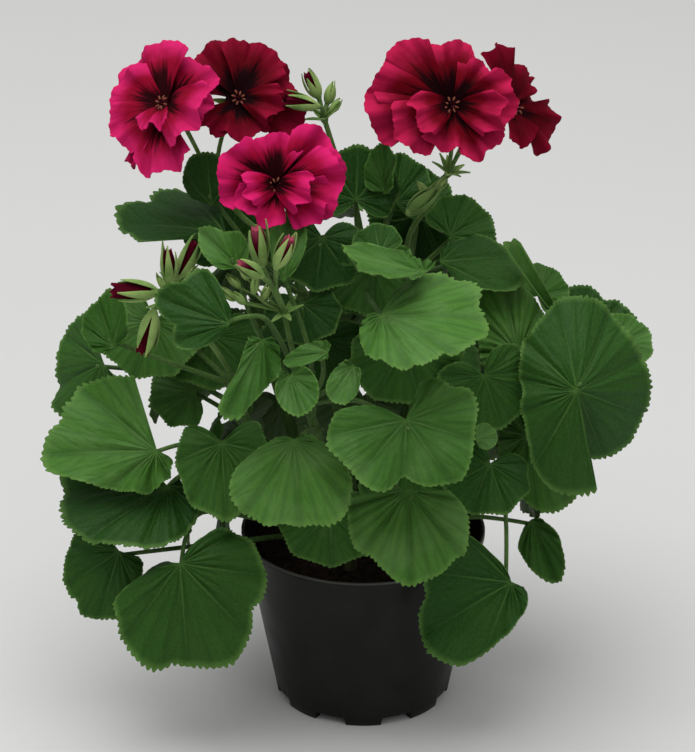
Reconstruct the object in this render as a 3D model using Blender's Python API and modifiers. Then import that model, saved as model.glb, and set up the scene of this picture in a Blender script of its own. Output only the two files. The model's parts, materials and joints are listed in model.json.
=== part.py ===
"""A regal pelargonium in its nursery pot, every piece a closed solid, in metres with +Z up.

The origin is the middle of the pot's underside. Leaves, petals and buds that show in the picture
are placed by where they stand in it, and a rule adds the leaves of the plant's far side.
"""
from collections import namedtuple
from math import atan2, cos, degrees, pi, radians, sin

import bmesh
import bpy
from mathutils import Matrix, Vector
from mathutils.bvhtree import BVHTree

MM = 0.001

# The pot and its soil
RIM_RADIUS = 60 * MM
BASE_RADIUS = 43 * MM
POT_HEIGHT = 88 * MM
POT_WALL = 1.4 * MM
LIP_HEIGHT = 3.0 * MM
LIP_PROUD = 0.5 * MM
FLOOR_RAISE = 5.0 * MM
FLOOR_THICK = 1.6 * MM
FOOT_COUNT = 8
FOOT_SHARE = 0.52
CENTRE_FOOT = 7 * MM
DRAIN_RADIUS = 3.2 * MM
DRAIN_RING = 27 * MM
DRAIN_COUNT = 5
POT_STEPS = 27
SOIL_TOP = 77 * MM
SOIL_ROUGH = 1.6 * MM
GAP = 0.3 * MM

# Stems, stalks and blades
STEM_BASE = 3.2 * MM
STEM_TIP = 2.0 * MM
STEM_SEAT = 14 * MM
SOCKET_ROOM = 0.6 * MM
PETIOLE = 1.15 * MM
PEDUNCLE = 1.35 * MM
PEDICEL = 0.9 * MM
LEAF_THICK = 0.8 * MM
PETAL_THICK = 0.7 * MM
SEPAL_THICK = 0.7 * MM
BLADE_ROOM = 0.55 * MM
ROOM_GROW = 1.01
PETAL_SPOKES = 6
PETAL_LAYER = 3.0 * MM
PETAL_FOOT = 1.0 * MM
SMALL_PETAL = 30
PLAIN_SPOKES = 16
FAR_SPOKES = 10
THROAT_SINK = 5.0 * MM
CLAW_LENGTH = 6.0 * MM
CLAW_RADIUS = 2.3 * MM
CLAW_HEAD = 4.0 * MM
CUP_DEEP = 1.2 * MM
PETAL_SHARE = 0.28
CUP_RADIUS = 2.6 * MM
EGG_SIDES = 6
EGG_RINGS = 3
CUP_BITE = 0.45 * MM
BUD_SEAT = 1.7 * MM
BUD_ROOM = 0.6
STALK_BITE = 0.12 * MM
ROOT_DROP = 40 * MM
ROOT_BELOW_TIP = 8 * MM
ROOT_ABOVE_SOIL = 12 * MM
FAR_JOINT_SHARE = 0.72
FAR_JOINT_LIFT = 8 * MM
FAR_NOD = 12
FAR_SWERVE = 0.25
SEPAL_TURN = 0.3
SHIFTS = (0, -3, 3, -6, 6, -9, 9, -13, 13, -18, 18, 24, 30)
TURNS = ((0, 0), (0, 8), (0, -8), (9, 0), (-9, 0), (0, 15), (14, 8), (-14, 8))
SWINGS = (0, 0.5, -0.5, 1.0, -1.0)
DROPS = (0.35, 0.15, 0.6, 0.8)
FAR_SHIFTS = (0, -4, 4, -8, 8, 12, -12, 16, -18)
FAR_TURNS = (0, 5, -5, 10, -10, 16, -16)
TEST_SIDES = 6
TEST_STEPS = 24
NODE_SPREAD = 1.4 * MM
NODE_RADIUS = 1.9 * MM
SEPAL_LONG = 10 * MM
BRACT_LONG = 9.0 * MM
JOINT_SHIFT = 3.0 * MM
STUB = 3.0 * MM
WELD = 0.000001
FOOT_DEEP = 4.0 * MM
NOTCH_SHY = 0.4 * MM
SOIL_RINGS = 3
SOIL_STEPS = 16
LOBE_ANGLE = radians(38)
LOBE_DEPTH = 0.07
FIT_STEPS = 4
SMALL_TURN = 0.001
TOOTH_DEPTH = 0.04
PLEAT = 0.035
EDGE_WAVE = 0.03

# The view that the picture was taken from, and the picture's size in pixels
VIEW_DISTANCE = 1.35
VIEW_RISE = radians(23.8)
VIEW_TARGET = Vector((-0.0077, 0.0, 0.169))
VIEW_FOCAL = 2808
PICTURE = (695, 752)
VIEW_BACK = Vector((0, -cos(VIEW_RISE), sin(VIEW_RISE)))
VIEW_RIGHT = Vector((1, 0, 0))
VIEW_UP = VIEW_BACK.cross(VIEW_RIGHT)
VIEW_POINT = VIEW_TARGET + VIEW_BACK * VIEW_DISTANCE

UP = Vector((0, 0, 1))

# Middle lines of the leafy stems in mm, from the soil to the tip
STEMS = {
    "left": ((-24, -8, 63), (-24, -8, 82), (-40, -15, 116), (-54, -22, 150), (-64, -27, 184)),
    "front": ((-6, -24, 63), (-6, -24, 82), (-10, -33, 116), (-20, -42, 150), (-28, -48, 184)),
    "middle": ((-4, -4, 63), (-4, -4, 82), (-8, -2, 130), (-20, 4, 178), (-32, 8, 216)),
    "top": ((8, 8, 63), (8, 8, 82), (6, 12, 130), (2, 18, 180), (0, 22, 226)),
    "right": ((26, -10, 63), (26, -10, 82), (40, -17, 116), (54, -21, 148), (66, -22, 180)),
    "crown": ((20, 16, 63), (20, 16, 82), (24, 18, 130), (26, 18, 178), (20, 14, 222)),
    "rear_left": ((-18, 18, 63), (-18, 18, 82), (-34, 34, 118), (-46, 46, 156), (-54, 52, 192)),
    "rear_right": ((4, 28, 63), (4, 28, 82), (18, 44, 118), (30, 56, 156), (38, 62, 192)),
}

Leaf = namedtuple("Leaf", "stem at depth tip faces span back wide cup fold twist via spokes",
                  defaults=(140, 0.5, 1.0, 0.0, 0.0, 0.0, (), 18))

# Leaves that the picture shows: joint with the stalk and tip in pixels, depth in mm, the way
# the upper face looks (turn from the view, rise), and the blade's own form
LEAVES = {
    "fan": Leaf("left", (157, 451), -52, (41, 452), (-15, 40), 100, 0.56, 0.95, -0.08, 0.06,
                via=((200, 441, -42),), spokes=16),
    "low_left": Leaf("left", (168, 487), -44, (72, 512), (-12, 66), 130, 0.5, 1.1, -0.1,
                     via=((196, 470, -38),), spokes=16),
    "paddle": Leaf("left", (119, 551), -46, (100, 617), (-10, 12), 130, 0.55, 1.0, -0.06,
                   via=((187, 547, -44),), spokes=12),
    "apron": Leaf("left", (180, 563), -70, (187, 670), (0, 15), 162, 0.5, 1.05, -0.1,
                  via=((203, 512, -50),), spokes=18),
    "umbrella": Leaf("front", (294, 440), -84, (299, 527), (-5, 35), 152, 0.42, 1.02, -0.12,
                     spokes=18),
    "saddle": Leaf("front", (406, 420), -100, (404, 484), (3, 30), 156, 0.56, 1.3, -0.08,
                   spokes=18),
    "shell": Leaf("front", (408, 490), -86, (411, 587), (0, 25), 156, 0.35, 0.94, -0.08,
                  spokes=18),
    "pennant": Leaf("right", (511, 582), -52, (428, 632), (-20, 16), 118, 0.42, 0.95, -0.05, 0.22,
                    via=((497, 470, -38),), spokes=16),
    "shield": Leaf("right", (577, 391), -58, (598, 302), (14, 18), 176, 1.14, 0.84, -0.1, 0.0,
                   0.2, spokes=20),
    "plate": Leaf("top", (381, 316), -82, (488, 336), (8, 72), 140, 0.5, 1.0, -0.06,
                  spokes=16),
    "knife": Leaf("top", (424, 273), -60, (342, 246, -56), (-30, 85), 120, 0.45, 0.8, 0.05, 0.1,
                  spokes=10),
    "blade": Leaf("crown", (560, 330), -14, (506, 243), (60, 22), 100, 0.4, 0.8, 0.02,
                  spokes=12),
    "mitten": Leaf("front", (230, 324), -90, (155, 297), (-10, 30), 132, 0.55, 1.0, -0.06,
                   via=((268, 321, -74),), spokes=16),
    "drop": Leaf("front", (262, 340), -88, (228, 416), (25, 22), 130, 0.5, 0.95, -0.06, 0.1,
                 spokes=14),
    "grey": Leaf("right", (519, 352), -26, (500, 273), (-14, 30), 140, 0.6, 0.8, -0.08,
                 spokes=14),
    "spoon": Leaf("right", (531, 520), -6, (556, 583), (-5, 15), 140, 0.45, 0.8, 0.04, 0.1,
                  via=((472, 517, -14),), spokes=10),
    "far_left": Leaf("left", (104, 364), -4, (57, 384), (-50, 25), 150, 0.6, 1.0, -0.1,
                     spokes=16),
    "young_left": Leaf("left", (113, 347), -44, (98, 297), (-20, 30), 120, 0.45, 0.9, 0.12, 0.2,
                       spokes=10),
    "wing_left": Leaf("middle", (226, 234), -22, (116, 214), (-30, 72), 120, 0.5, 0.95, -0.08,
                      spokes=16),
    "nape": Leaf("middle", (234, 246), 2, (236, 192), (-5, 20), 150, 0.6, 1.2, -0.05,
                 spokes=10),
    "cuff": Leaf("left", (152, 322), -14, (134, 378), (-10, 30), 150, 0.6, 1.1, -0.05,
                 spokes=10),
    "cuff_right": Leaf("left", (212, 336), -8, (214, 390), (0, 26), 150, 0.6, 1.2, -0.05,
                       spokes=10),
    "under_bloom": Leaf("middle", (212, 206), -10, (206, 153), (-15, 25), 140, 0.5, 0.9, -0.05,
                        spokes=10),
    "lime": Leaf("front", (238, 268), -64, (200, 232), (-10, 35), 120, 0.45, 0.9, 0.05, 0.15,
                 spokes=10),
    "bract_leaf": Leaf("front", (284, 282), -64, (290, 213), (5, 25), 95, 0.4, 0.72, 0.1, 0.25,
                       spokes=10),
    "lip": Leaf("front", (328, 352), -78, (284, 362), (-10, 45), 140, 0.5, 1.0, 0.05, 0.1,
                spokes=10),
    "fold_young": Leaf("front", (290, 376), -88, (298, 416), (0, 40), 130, 0.6, 1.1, 0.12, 0.3,
                       spokes=10),
    "tongue": Leaf("front", (354, 366), -82, (328, 406), (-10, 45), 130, 0.5, 1.0, 0.08, 0.15,
                   spokes=10),
    "under_umbrella": Leaf("front", (330, 512), -54, (332, 568), (-5, 20), 150, 0.5, 1.2, -0.06,
                           spokes=12),
    "behind_umbrella": Leaf("left", (222, 443), -54, (226, 522), (-10, 30), 130, 0.5, 0.8, -0.06,
                            spokes=12),
    "low_right": Leaf("right", (528, 436), -22, (545, 514), (8, 32), 146, 0.5, 1.0, -0.08,
                      spokes=14),
    "dusk": Leaf("right", (490, 464), -46, (470, 514), (-10, 30), 150, 0.5, 1.1, -0.06,
                 spokes=10),
    "chip": Leaf("right", (476, 440), -66, (502, 440), (20, 40), 130, 0.6, 1.2, 0.05, 0.1,
                 spokes=10),
    "brim": Leaf("crown", (440, 262), -14, (510, 254), (10, 58), 140, 0.5, 1.1, -0.08,
                 spokes=14),
    "glow": Leaf("crown", (450, 236), 6, (491, 216), (15, 42), 140, 0.5, 1.0, 0.04, 0.1,
                 spokes=12),
    "spark": Leaf("crown", (538, 296), 12, (556, 270), (20, 30), 140, 0.5, 1.1, 0.05, 0.1,
                  spokes=10),
    "peak": Leaf("crown", (590, 340), 14, (592, 287), (20, 32), 150, 0.5, 1.1, -0.08,
                 spokes=12),
    "far_right": Leaf("crown", (618, 344), 6, (648, 331), (30, 45), 120, 0.5, 1.0, 0.05,
                      spokes=10),
    "crest": Leaf("top", (356, 200), 18, (358, 144), (5, 32), 140, 0.5, 1.0, 0.05, 0.1,
                  spokes=12),
    "crest_right": Leaf("top", (396, 202), 26, (402, 153), (10, 30), 140, 0.5, 0.9, 0.05, 0.1,
                        spokes=12),
    "horn": Leaf("top", (384, 192), 10, (390, 141), (-50, 14), 90, 0.4, 0.55, 0.1, 0.3,
                 spokes=10),
    "brow": Leaf("crown", (416, 214), 6, (424, 168), (15, 30), 130, 0.5, 1.0, 0.04, 0.1,
                 spokes=12),
    "cheek": Leaf("top", (380, 254), -40, (354, 236), (10, 45), 140, 0.6, 1.2, 0.05, 0.1,
                  spokes=10),
    "shade_middle": Leaf("top", (322, 238), -30, (316, 292), (10, 30), 150, 0.5, 1.1, -0.05,
                         spokes=10),
    "mass": Leaf("crown", (420, 212), 14, (404, 262), (0, 8), 150, 0.6, 1.2, -0.06,
                 spokes=12),
    "hollow": Leaf("front", (302, 304), -42, (306, 346), (0, 30), 140, 0.5, 1.2, -0.05,
                   spokes=10),
    "shade_high": Leaf("top", (372, 266), -34, (374, 318), (0, 12), 150, 0.6, 1.1, -0.05,
                       spokes=10),
    "shade_low": Leaf("top", (404, 346), -40, (420, 404), (0, 10), 150, 0.6, 1.2, -0.05,
                      spokes=10),
    "core": Leaf("front", (318, 338), -30, (304, 396), (0, 14), 150, 0.6, 1.2, -0.05,
                 spokes=10),
    "shade_right": Leaf("right", (484, 376), -30, (502, 430), (10, 12), 150, 0.6, 1.1, -0.05,
                        spokes=10),
    "shade_left": Leaf("left", (196, 392), -10, (152, 372), (-20, 40), 140, 0.5, 1.0, -0.1,
                       spokes=10),
}

# Leaf outlines where the picture shows them, in pixels, from one side of the leaf's stalk round
# the blade to the other
EDGES = {
    "fan": ((154, 436), (153, 415), (152, 395), (149, 381), (140, 376), (125, 379), (110, 378),
            (98, 383), (86, 381), (75, 385), (73, 397), (65, 405), (63, 420), (52, 429), (44, 442),
            (40, 455), (43, 467), (56, 476), (72, 480), (92, 485), (112, 489), (130, 492),
            (148, 492), (160, 488), (169, 479), (173, 466), (168, 456)),
    "low_left": ((176, 483), (190, 488), (204, 500), (201, 511), (194, 524), (182, 535),
                 (170, 545), (150, 549), (132, 549), (112, 547), (92, 542), (76, 533), (66, 527),
                 (62, 515), (59, 504), (66, 492), (58, 478), (80, 468), (110, 466), (140, 470),
                 (158, 480)),
    "paddle": ((139, 556), (141, 578), (140, 600), (130, 616), (119, 619), (108, 618), (101, 620),
               (90, 618), (80, 616), (78, 600), (70, 597), (64, 582), (65, 566), (70, 547),
               (76, 532), (95, 530), (110, 540)),
    "apron": ((170, 562), (155, 567), (141, 578), (124, 587), (113, 602), (119, 620), (119, 634),
              (127, 648), (138, 658), (150, 669), (163, 669), (174, 663), (186, 668), (203, 668),
              (220, 667), (236, 661), (246, 645), (252, 628), (252, 606), (262, 599), (267, 583),
              (262, 562), (251, 539), (234, 535), (224, 526), (210, 530), (196, 541), (186, 552)),
    "umbrella": ((285, 436), (268, 444), (250, 454), (238, 466), (231, 480), (231, 498),
                 (240, 511), (257, 520), (268, 528), (281, 523), (300, 526), (316, 524),
                 (330, 527), (345, 518), (350, 500), (353, 483), (346, 466), (334, 450),
                 (318, 440), (304, 434)),
    "saddle": ((390, 411), (372, 406), (352, 407), (336, 411), (328, 430), (327, 448), (338, 458),
               (350, 470), (362, 484), (377, 493), (392, 489), (399, 479), (404, 475), (413, 482),
               (428, 487), (445, 484), (462, 481), (469, 466), (473, 448), (475, 425), (478, 406),
               (473, 391), (462, 385), (454, 390), (444, 381), (431, 377), (417, 386), (412, 402)),
    "shell": ((396, 491), (378, 492), (358, 485), (351, 495), (348, 510), (349, 530), (355, 549),
              (372, 557), (384, 570), (397, 582), (410, 587), (424, 581), (442, 573), (455, 558),
              (465, 555), (468, 538), (468, 515), (458, 499), (446, 489), (432, 486), (419, 490)),
    "plate": ((372, 316), (362, 328), (360, 341), (364, 350), (371, 357), (388, 363), (398, 368),
              (408, 367), (417, 370), (432, 366), (441, 359), (443, 354), (458, 353), (470, 348),
              (482, 341), (489, 330), (487, 316), (477, 307), (482, 296), (476, 288), (460, 281),
              (446, 277), (434, 275), (424, 279), (406, 287), (392, 296), (385, 306)),
    "mitten": ((231, 312), (226, 298), (218, 281), (209, 270), (200, 268), (191, 273), (184, 283),
               (170, 283), (155, 292), (154, 303), (161, 315), (176, 325), (173, 337), (173, 344),
               (182, 350), (195, 350), (211, 345), (222, 335)),
    "drop": ((252, 336), (244, 350), (238, 366), (235, 377), (226, 387), (220, 398), (219, 411),
             (227, 420), (240, 419), (250, 405), (262, 391), (272, 382), (280, 362), (278, 347),
             (270, 337)),
    "shield": ((597, 489), (592, 495), (578, 494), (562, 494), (548, 488), (538, 472), (529, 446),
               (524, 420), (519, 403), (523, 388), (520, 365), (520, 349), (530, 332), (545, 312),
               (556, 300), (578, 296), (600, 300), (616, 320), (633, 341), (644, 362), (651, 384),
               (647, 410), (638, 428), (628, 444), (612, 455), (597, 459), (584, 456), (572, 448)),
    "grey": ((540, 372), (550, 352), (549, 330), (540, 308), (526, 288), (511, 276), (496, 273),
             (485, 280), (478, 300), (477, 322), (480, 345), (483, 364), (493, 380), (507, 385),
             (514, 372)),
    "low_right": ((540, 410), (522, 402), (506, 415), (499, 440), (501, 465), (509, 480),
                  (519, 494), (531, 507), (545, 514), (560, 511), (575, 499), (583, 480),
                  (578, 455), (560, 430)),
    "pennant": ((508, 572), (494, 556), (481, 543), (466, 533), (446, 530), (430, 540),
                (422, 560), (424, 585), (427, 596), (420, 610), (420, 632), (426, 650),
                (442, 661), (461, 667), (478, 658), (500, 640), (518, 620), (528, 598),
                (523, 587)),
    "spoon": ((536, 518), (547, 523), (557, 533), (562, 548), (565, 568), (561, 582), (553, 584),
              (542, 578), (533, 570), (523, 558), (518, 546), (521, 535), (526, 525)),
    "wing_left": ((215, 190), (196, 190), (180, 188), (172, 185), (160, 189), (152, 195),
                  (149, 204), (132, 205), (115, 208), (118, 224), (128, 237), (143, 250),
                  (160, 249), (180, 244), (200, 245), (220, 250)),
    "under_bloom": ((192, 198), (183, 178), (187, 163), (192, 155), (204, 152), (217, 154),
                    (228, 165), (232, 185)),
    "young_left": ((122, 345), (128, 325), (126, 308), (118, 292), (108, 288), (98, 299),
                   (88, 311), (81, 328), (87, 342), (96, 352), (106, 352)),
    "far_left": ((96, 330), (88, 312), (75, 322), (65, 330), (63, 345), (60, 365), (57, 380),
                 (57, 391), (51, 403), (62, 417), (80, 425), (100, 420), (115, 400), (118, 378)),
    "peak": ((562, 340), (553, 318), (553, 300), (560, 292), (570, 287), (591, 286), (601, 296),
             (605, 301), (618, 300), (628, 311), (637, 320), (631, 331), (618, 345)),
    "brim": ((440, 250), (448, 245), (460, 240), (475, 236), (490, 240), (504, 249), (517, 261),
             (527, 277), (515, 290), (495, 290), (470, 288), (450, 276)),
    "bract_leaf": ((277, 272), (271, 252), (269, 235), (274, 222), (282, 216), (290, 212),
                   (299, 219), (307, 236), (305, 250), (297, 266), (289, 276)),
    "lime": ((224, 270), (210, 262), (200, 248), (198, 228), (209, 226), (224, 232), (240, 232),
             (248, 245), (246, 262)),
    "knife": ((434, 268), (420, 261), (398, 256), (380, 250), (362, 244), (342, 243), (346, 252),
              (357, 264), (371, 276), (387, 281), (404, 281), (420, 278)),
    "fold_young": ((284, 371), (278, 380), (276, 395), (284, 410), (296, 417), (309, 413),
                   (318, 400), (318, 384), (309, 370), (298, 366)),
    "tongue": ((349, 361), (338, 366), (329, 378), (326, 392), (333, 403), (345, 405), (355, 396),
               (360, 380), (359, 368)),
    "lip": ((331, 345), (318, 342), (304, 345), (294, 351), (282, 361), (289, 369), (304, 366),
            (317, 360), (328, 357)),
    "blade": ((557, 326), (544, 306), (532, 290), (522, 272), (513, 256), (505, 243), (514, 240),
              (527, 248), (536, 262), (537, 281), (547, 300), (561, 318)),
    "chip": ((480, 448), (490, 449), (498, 440), (494, 429), (484, 423), (475, 427)),
}

Spray = namedtuple("Spray", "stem node depth bracts")
Bloom = namedtuple("Bloom", "spray throat depth faces petals")
Petal = namedtuple("Petal", "tip reach half curl ruffle", defaults=(0.22, 0.08))
Bud = namedtuple("Bud", "spray base depth tip reach girth open", defaults=(0.0,))

# Where each head of flowers branches, in pixels and mm of depth
SPRAYS = {
    "head_left": Spray("middle", (214, 184), 6, 4),
    "head_right": Spray("crown", (449, 172), 4, 5),
    "buds_top": Spray("top", (324, 118), 16, 3),
    "buds_middle": Spray("front", (284, 312), -62, 4),
    "buds_left": Spray("left", (168, 304), -56, 3),
}

# Open blooms: the throat, the way it faces, and each petal's tip, how far it reaches towards
# the viewer, and half its spread in degrees
BLOOMS = {
    "bloom_left": Bloom("head_left", (165, 104), -10, (-30, 35), (
        Petal((112, 92), 2, 46), Petal((150, 46), -8, 46), Petal((204, 62), -10, 44),
        Petal((212, 104), -2, 36), Petal((112, 138), 6, 38), Petal((162, 176), 2, 28),
        Petal((129, 167), -2, 10), Petal((198, 120), 13, 34, 0.3), Petal((148, 128), 13, 26, 0.3))),
    "bloom_back": Bloom("head_left", (238, 98), 8, (10, 32), (
        Petal((216, 40), -6, 36), Petal((262, 43), -8, 42), Petal((296, 84), -8, 38),
        Petal((304, 122), 0, 30), Petal((250, 139), 6, 42), Petal((206, 131), 0, 26),
        Petal((204, 76), -10, 30), Petal((282, 106), 12, 28, 0.3))),
    "bloom_front": Bloom("head_left", (276, 184), -44, (2, 24), (
        Petal((217, 166), 4, 46), Petal((270, 132), -6, 48), Petal((336, 143), -4, 40),
        Petal((345, 180), 2, 40), Petal((326, 213), 6, 36), Petal((250, 219), 8, 44),
        Petal((244, 192), 15, 26, 0.35), Petal((310, 196), 14, 28, 0.35))),
    "bloom_right": Bloom("head_right", (452, 104), -10, (-4, 22), (
        Petal((364, 104), 0, 36), Petal((384, 56), -6, 36), Petal((442, 40), -8, 36),
        Petal((486, 64), -8, 34), Petal((518, 98), 4, 34), Petal((492, 153), 4, 28),
        Petal((436, 149), 8, 40), Petal((396, 138), 6, 34), Petal((504, 118), 15, 24, 0.3),
        Petal((414, 118), 14, 30, 0.3))),
    "bloom_side": Bloom("head_right", (509, 106), 22, (46, 18), (
        Petal((496, 43), 0, 26), Petal((524, 66), -6, 36), Petal((534, 98), -8, 36),
        Petal((555, 134), -2, 32), Petal((528, 146), 6, 32))),
}

# Buds: base, tip, how far the tip reaches towards the viewer, girth in mm, and how far it
# has opened, which shows its petals
BUDS = {
    "bud_top_side": Bud("buds_top", (318, 106), 5, (284, 100), 8, 6.5, 1.0),
    "bud_top_up": Bud("buds_top", (319, 98), 18, (306, 72), 2, 6.5, 0.5),
    "bud_top_small": Bud("buds_top", (327, 104), 20, (333, 84), 0, 5.0),
    "bud_middle_up": Bud("buds_middle", (262, 266), -72, (256, 226), 4, 8.0, 0.6),
    "bud_middle_low": Bud("buds_middle", (262, 276), -80, (238, 262), 6, 6.5, 0.6),
    "bud_middle_right": Bud("buds_middle", (276, 268), -78, (291, 236), 2, 7.0, 0.6),
    "bud_left_open": Bud("buds_left", (158, 292), -66, (112, 290), 4, 8.0, 1.0),
    "bud_left_up": Bud("buds_left", (170, 286), -60, (168, 248), 2, 7.0, 0.5),
    "bud_left_right": Bud("buds_left", (177, 280), -56, (197, 240), 0, 7.0, 0.5),
    "bud_left_down": Bud("buds_left", (154, 310), -64, (142, 354), 4, 8.0, 0.8),
    "bud_right_young": Bud("head_right", (408, 214), -2, (436, 188), 4, 8.0),
    "bud_right_back": Bud("head_right", (462, 148), 6, (470, 132), 0, 4.5),
}

# Leaves of the far side and the top stand in rings round the plant: height, reach and size in
# mm, how many, the first one's turn and the step in degrees, counted from the plant's right
# side, how far they face up, and the stems that carry the right and the left ones
FAR_RINGS = (
    (118, 104, 44, 6, 12, 31, 18, "rear_right", "rear_left"),
    (160, 116, 46, 6, 6, 33, 30, "rear_right", "rear_left"),
    (204, 92, 42, 4, 40, 34, 42, "rear_right", "rear_left"),
    (228, 62, 38, 3, 60, 40, 62, "top", "rear_left"),
    (206, 52, 36, 5, -30, 62, 76, "top", "middle"),
    (160, 112, 42, 2, -36, 26, 20, "right", "left"),
    (118, 94, 40, 2, -28, 32, 12, "right", "left"),
    (152, 120, 40, 1, 184, 16, 18, "right", "left"),
    (108, 96, 38, 1, 180, 22, 12, "right", "left"),
    (112, 62, 34, 2, -62, 30, 22, "right", "left"),
    (136, 56, 34, 2, -64, 34, 34, "right", "left"),
    (110, 60, 34, 1, 222, 22, 22, "right", "left"),
    (186, 34, 34, 4, -20, 62, 72, "top", "middle"),
)

LEAF_GREEN = (0.085, 0.22, 0.035)
BUD_GREEN = (0.24, 0.42, 0.12)
BLOOM_PINK = (0.55, 0.02, 0.12)
BUD_RED = (0.22, 0.01, 0.03)
POT_BLACK = (0.012, 0.012, 0.013)
SOIL_BROWN = (0.03, 0.02, 0.014)


def in_view(pixel, depth):
    """The point that the picture shows at a pixel, at a depth in metres behind the origin."""
    ray = -VIEW_BACK + VIEW_RIGHT * ((pixel[0] - PICTURE[0] / 2) / VIEW_FOCAL)
    ray += VIEW_UP * ((PICTURE[1] / 2 - pixel[1]) / VIEW_FOCAL)
    return VIEW_POINT + ray * ((depth - VIEW_POINT.y) / ray.y)


def on_plane(pixel, point, normal):
    """The point that the picture shows at a pixel, on a plane through a point."""
    ray = in_view(pixel, 0.0) - VIEW_POINT
    return VIEW_POINT + ray * ((point - VIEW_POINT).dot(normal) / ray.dot(normal))


def facing(turn, rise):
    """The direction that a turn from the view and a rise, in degrees, give."""
    turn, rise = radians(turn), radians(rise)
    return Vector((sin(turn) * cos(rise), -cos(turn) * cos(rise), sin(rise)))


def smooth_path(points, count):
    """Points at even steps along a smooth curve through the given ones."""
    ends = [points[0] * 2 - points[1]] + list(points) + [points[-1] * 2 - points[-2]]
    path = []
    for step in range(count + 1):
        place = step / count * (len(points) - 1)
        k = min(int(place), len(points) - 2)
        t = place - k
        a, b, c, d = ends[k:k + 4]
        path.append(0.5 * (2 * b + (c - a) * t + (2 * a - 5 * b + 4 * c - d) * t * t
                           + (3 * b - a - 3 * c + d) * t ** 3))
    return path


def bend(start, start_way, end, end_way, count):
    """Points along a curve that leaves and arrives in the given directions."""
    reach = (end - start).length / 3
    b = start + start_way.normalized() * reach
    c = end - end_way.normalized() * reach
    path = []
    for step in range(count + 1):
        t = step / count
        s = 1 - t
        path.append(start * s ** 3 + b * 3 * s * s * t + c * 3 * s * t * t + end * t ** 3)
    return path


def stem_point(stem, height):
    """Where a stem's middle line passes a height."""
    points = [Vector(p) * MM for p in STEMS[stem]]
    for low, high in zip(points, points[1:]):
        if height <= high.z:
            return low.lerp(high, (height - low.z) / (high.z - low.z))
    return points[-1]


def sleeve(path, radius):
    """A plain tube round a path, as points and faces, for testing room."""
    sides = TEST_SIDES
    points, faces = [], []
    across = (path[1] - path[0]).orthogonal()
    for k, middle in enumerate(path):
        way = (path[min(k + 1, len(path) - 1)] - path[max(k - 1, 0)]).normalized()
        across = (across - way * across.dot(way)).normalized()
        for side in range(sides):
            points.append(middle + Matrix.Rotation(2 * pi * side / sides, 3, way) @ across * radius)
    for k in range(len(path) - 1):
        for side in range(sides):
            a, b = k * sides + side, k * sides + (side + 1) % sides
            faces.append((a, b, b + sides, a + sides))
    faces.append(tuple(range(sides)))
    faces.append(tuple(len(points) - 1 - side for side in range(sides)))
    return points, faces


class Blade:
    """A thin fan of rays round its joint, with a frame, a size and a form of its own."""

    def __init__(self, joint, axis, normal, size, form, spokes):
        self.joint = joint
        self.axis = axis.normalized()
        self.normal = (normal - self.axis * normal.dot(self.axis)).normalized()
        self.side = self.normal.cross(self.axis)
        self.size = size
        self.form = form
        self.spokes = spokes + spokes % 2

    def point(self, angle, share, grow=1.0):
        """A point of the sheet, at an angle from the axis and a share of the way out."""
        x, y, lift = self.form(angle, share)
        x, y = x * grow, y * grow
        return self.joint + (self.axis * x + self.side * y + self.normal * lift) * self.size

    def sheet(self, grow=1.0):
        """The sheet's points and triangles: the joint, a ring half way and the outline."""
        half = radians(self.form.span)
        count = self.spokes
        points = [self.point(0.0, 0.0)]
        if count <= PLAIN_SPOKES:
            points += [self.point(half * (2 * k / count - 1), 1.0, grow) for k in range(count + 1)]
            return points, [(0, k, k + 1) for k in range(1, count + 1)]
        for k in range(0, count + 1, 2):
            points.append(self.point(half * (2 * k / count - 1), self.form.ring, grow))
        first = len(points)
        for k in range(count + 1):
            points.append(self.point(half * (2 * k / count - 1), 1.0, grow))
        faces = []
        for k in range(count // 2):
            near, out = 1 + k, first + 2 * k
            faces.append((0, near, near + 1))
            faces.append((near, out, out + 1))
            faces.append((near, out + 1, near + 1))
            faces.append((near + 1, out + 1, out + 2))
        return points, faces

    def room(self, thick):
        """The sheet made thick, as points and faces, for testing room."""
        points, faces = self.sheet(ROOM_GROW)
        count = len(points)
        first = count - self.spokes - 1
        inner = [] if first == 1 else [1]
        edge = [0] + inner + list(range(first, count)) + ([first - 1] if inner else [])
        both = [p + self.normal * thick for p in points] + [p - self.normal * thick for p in points]
        solid = list(faces) + [tuple(count + i for i in reversed(face)) for face in faces]
        for a, b in zip(edge, edge[1:] + edge[:1]):
            solid.append((a, b, b + count, a + count))
        return both, solid


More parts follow.
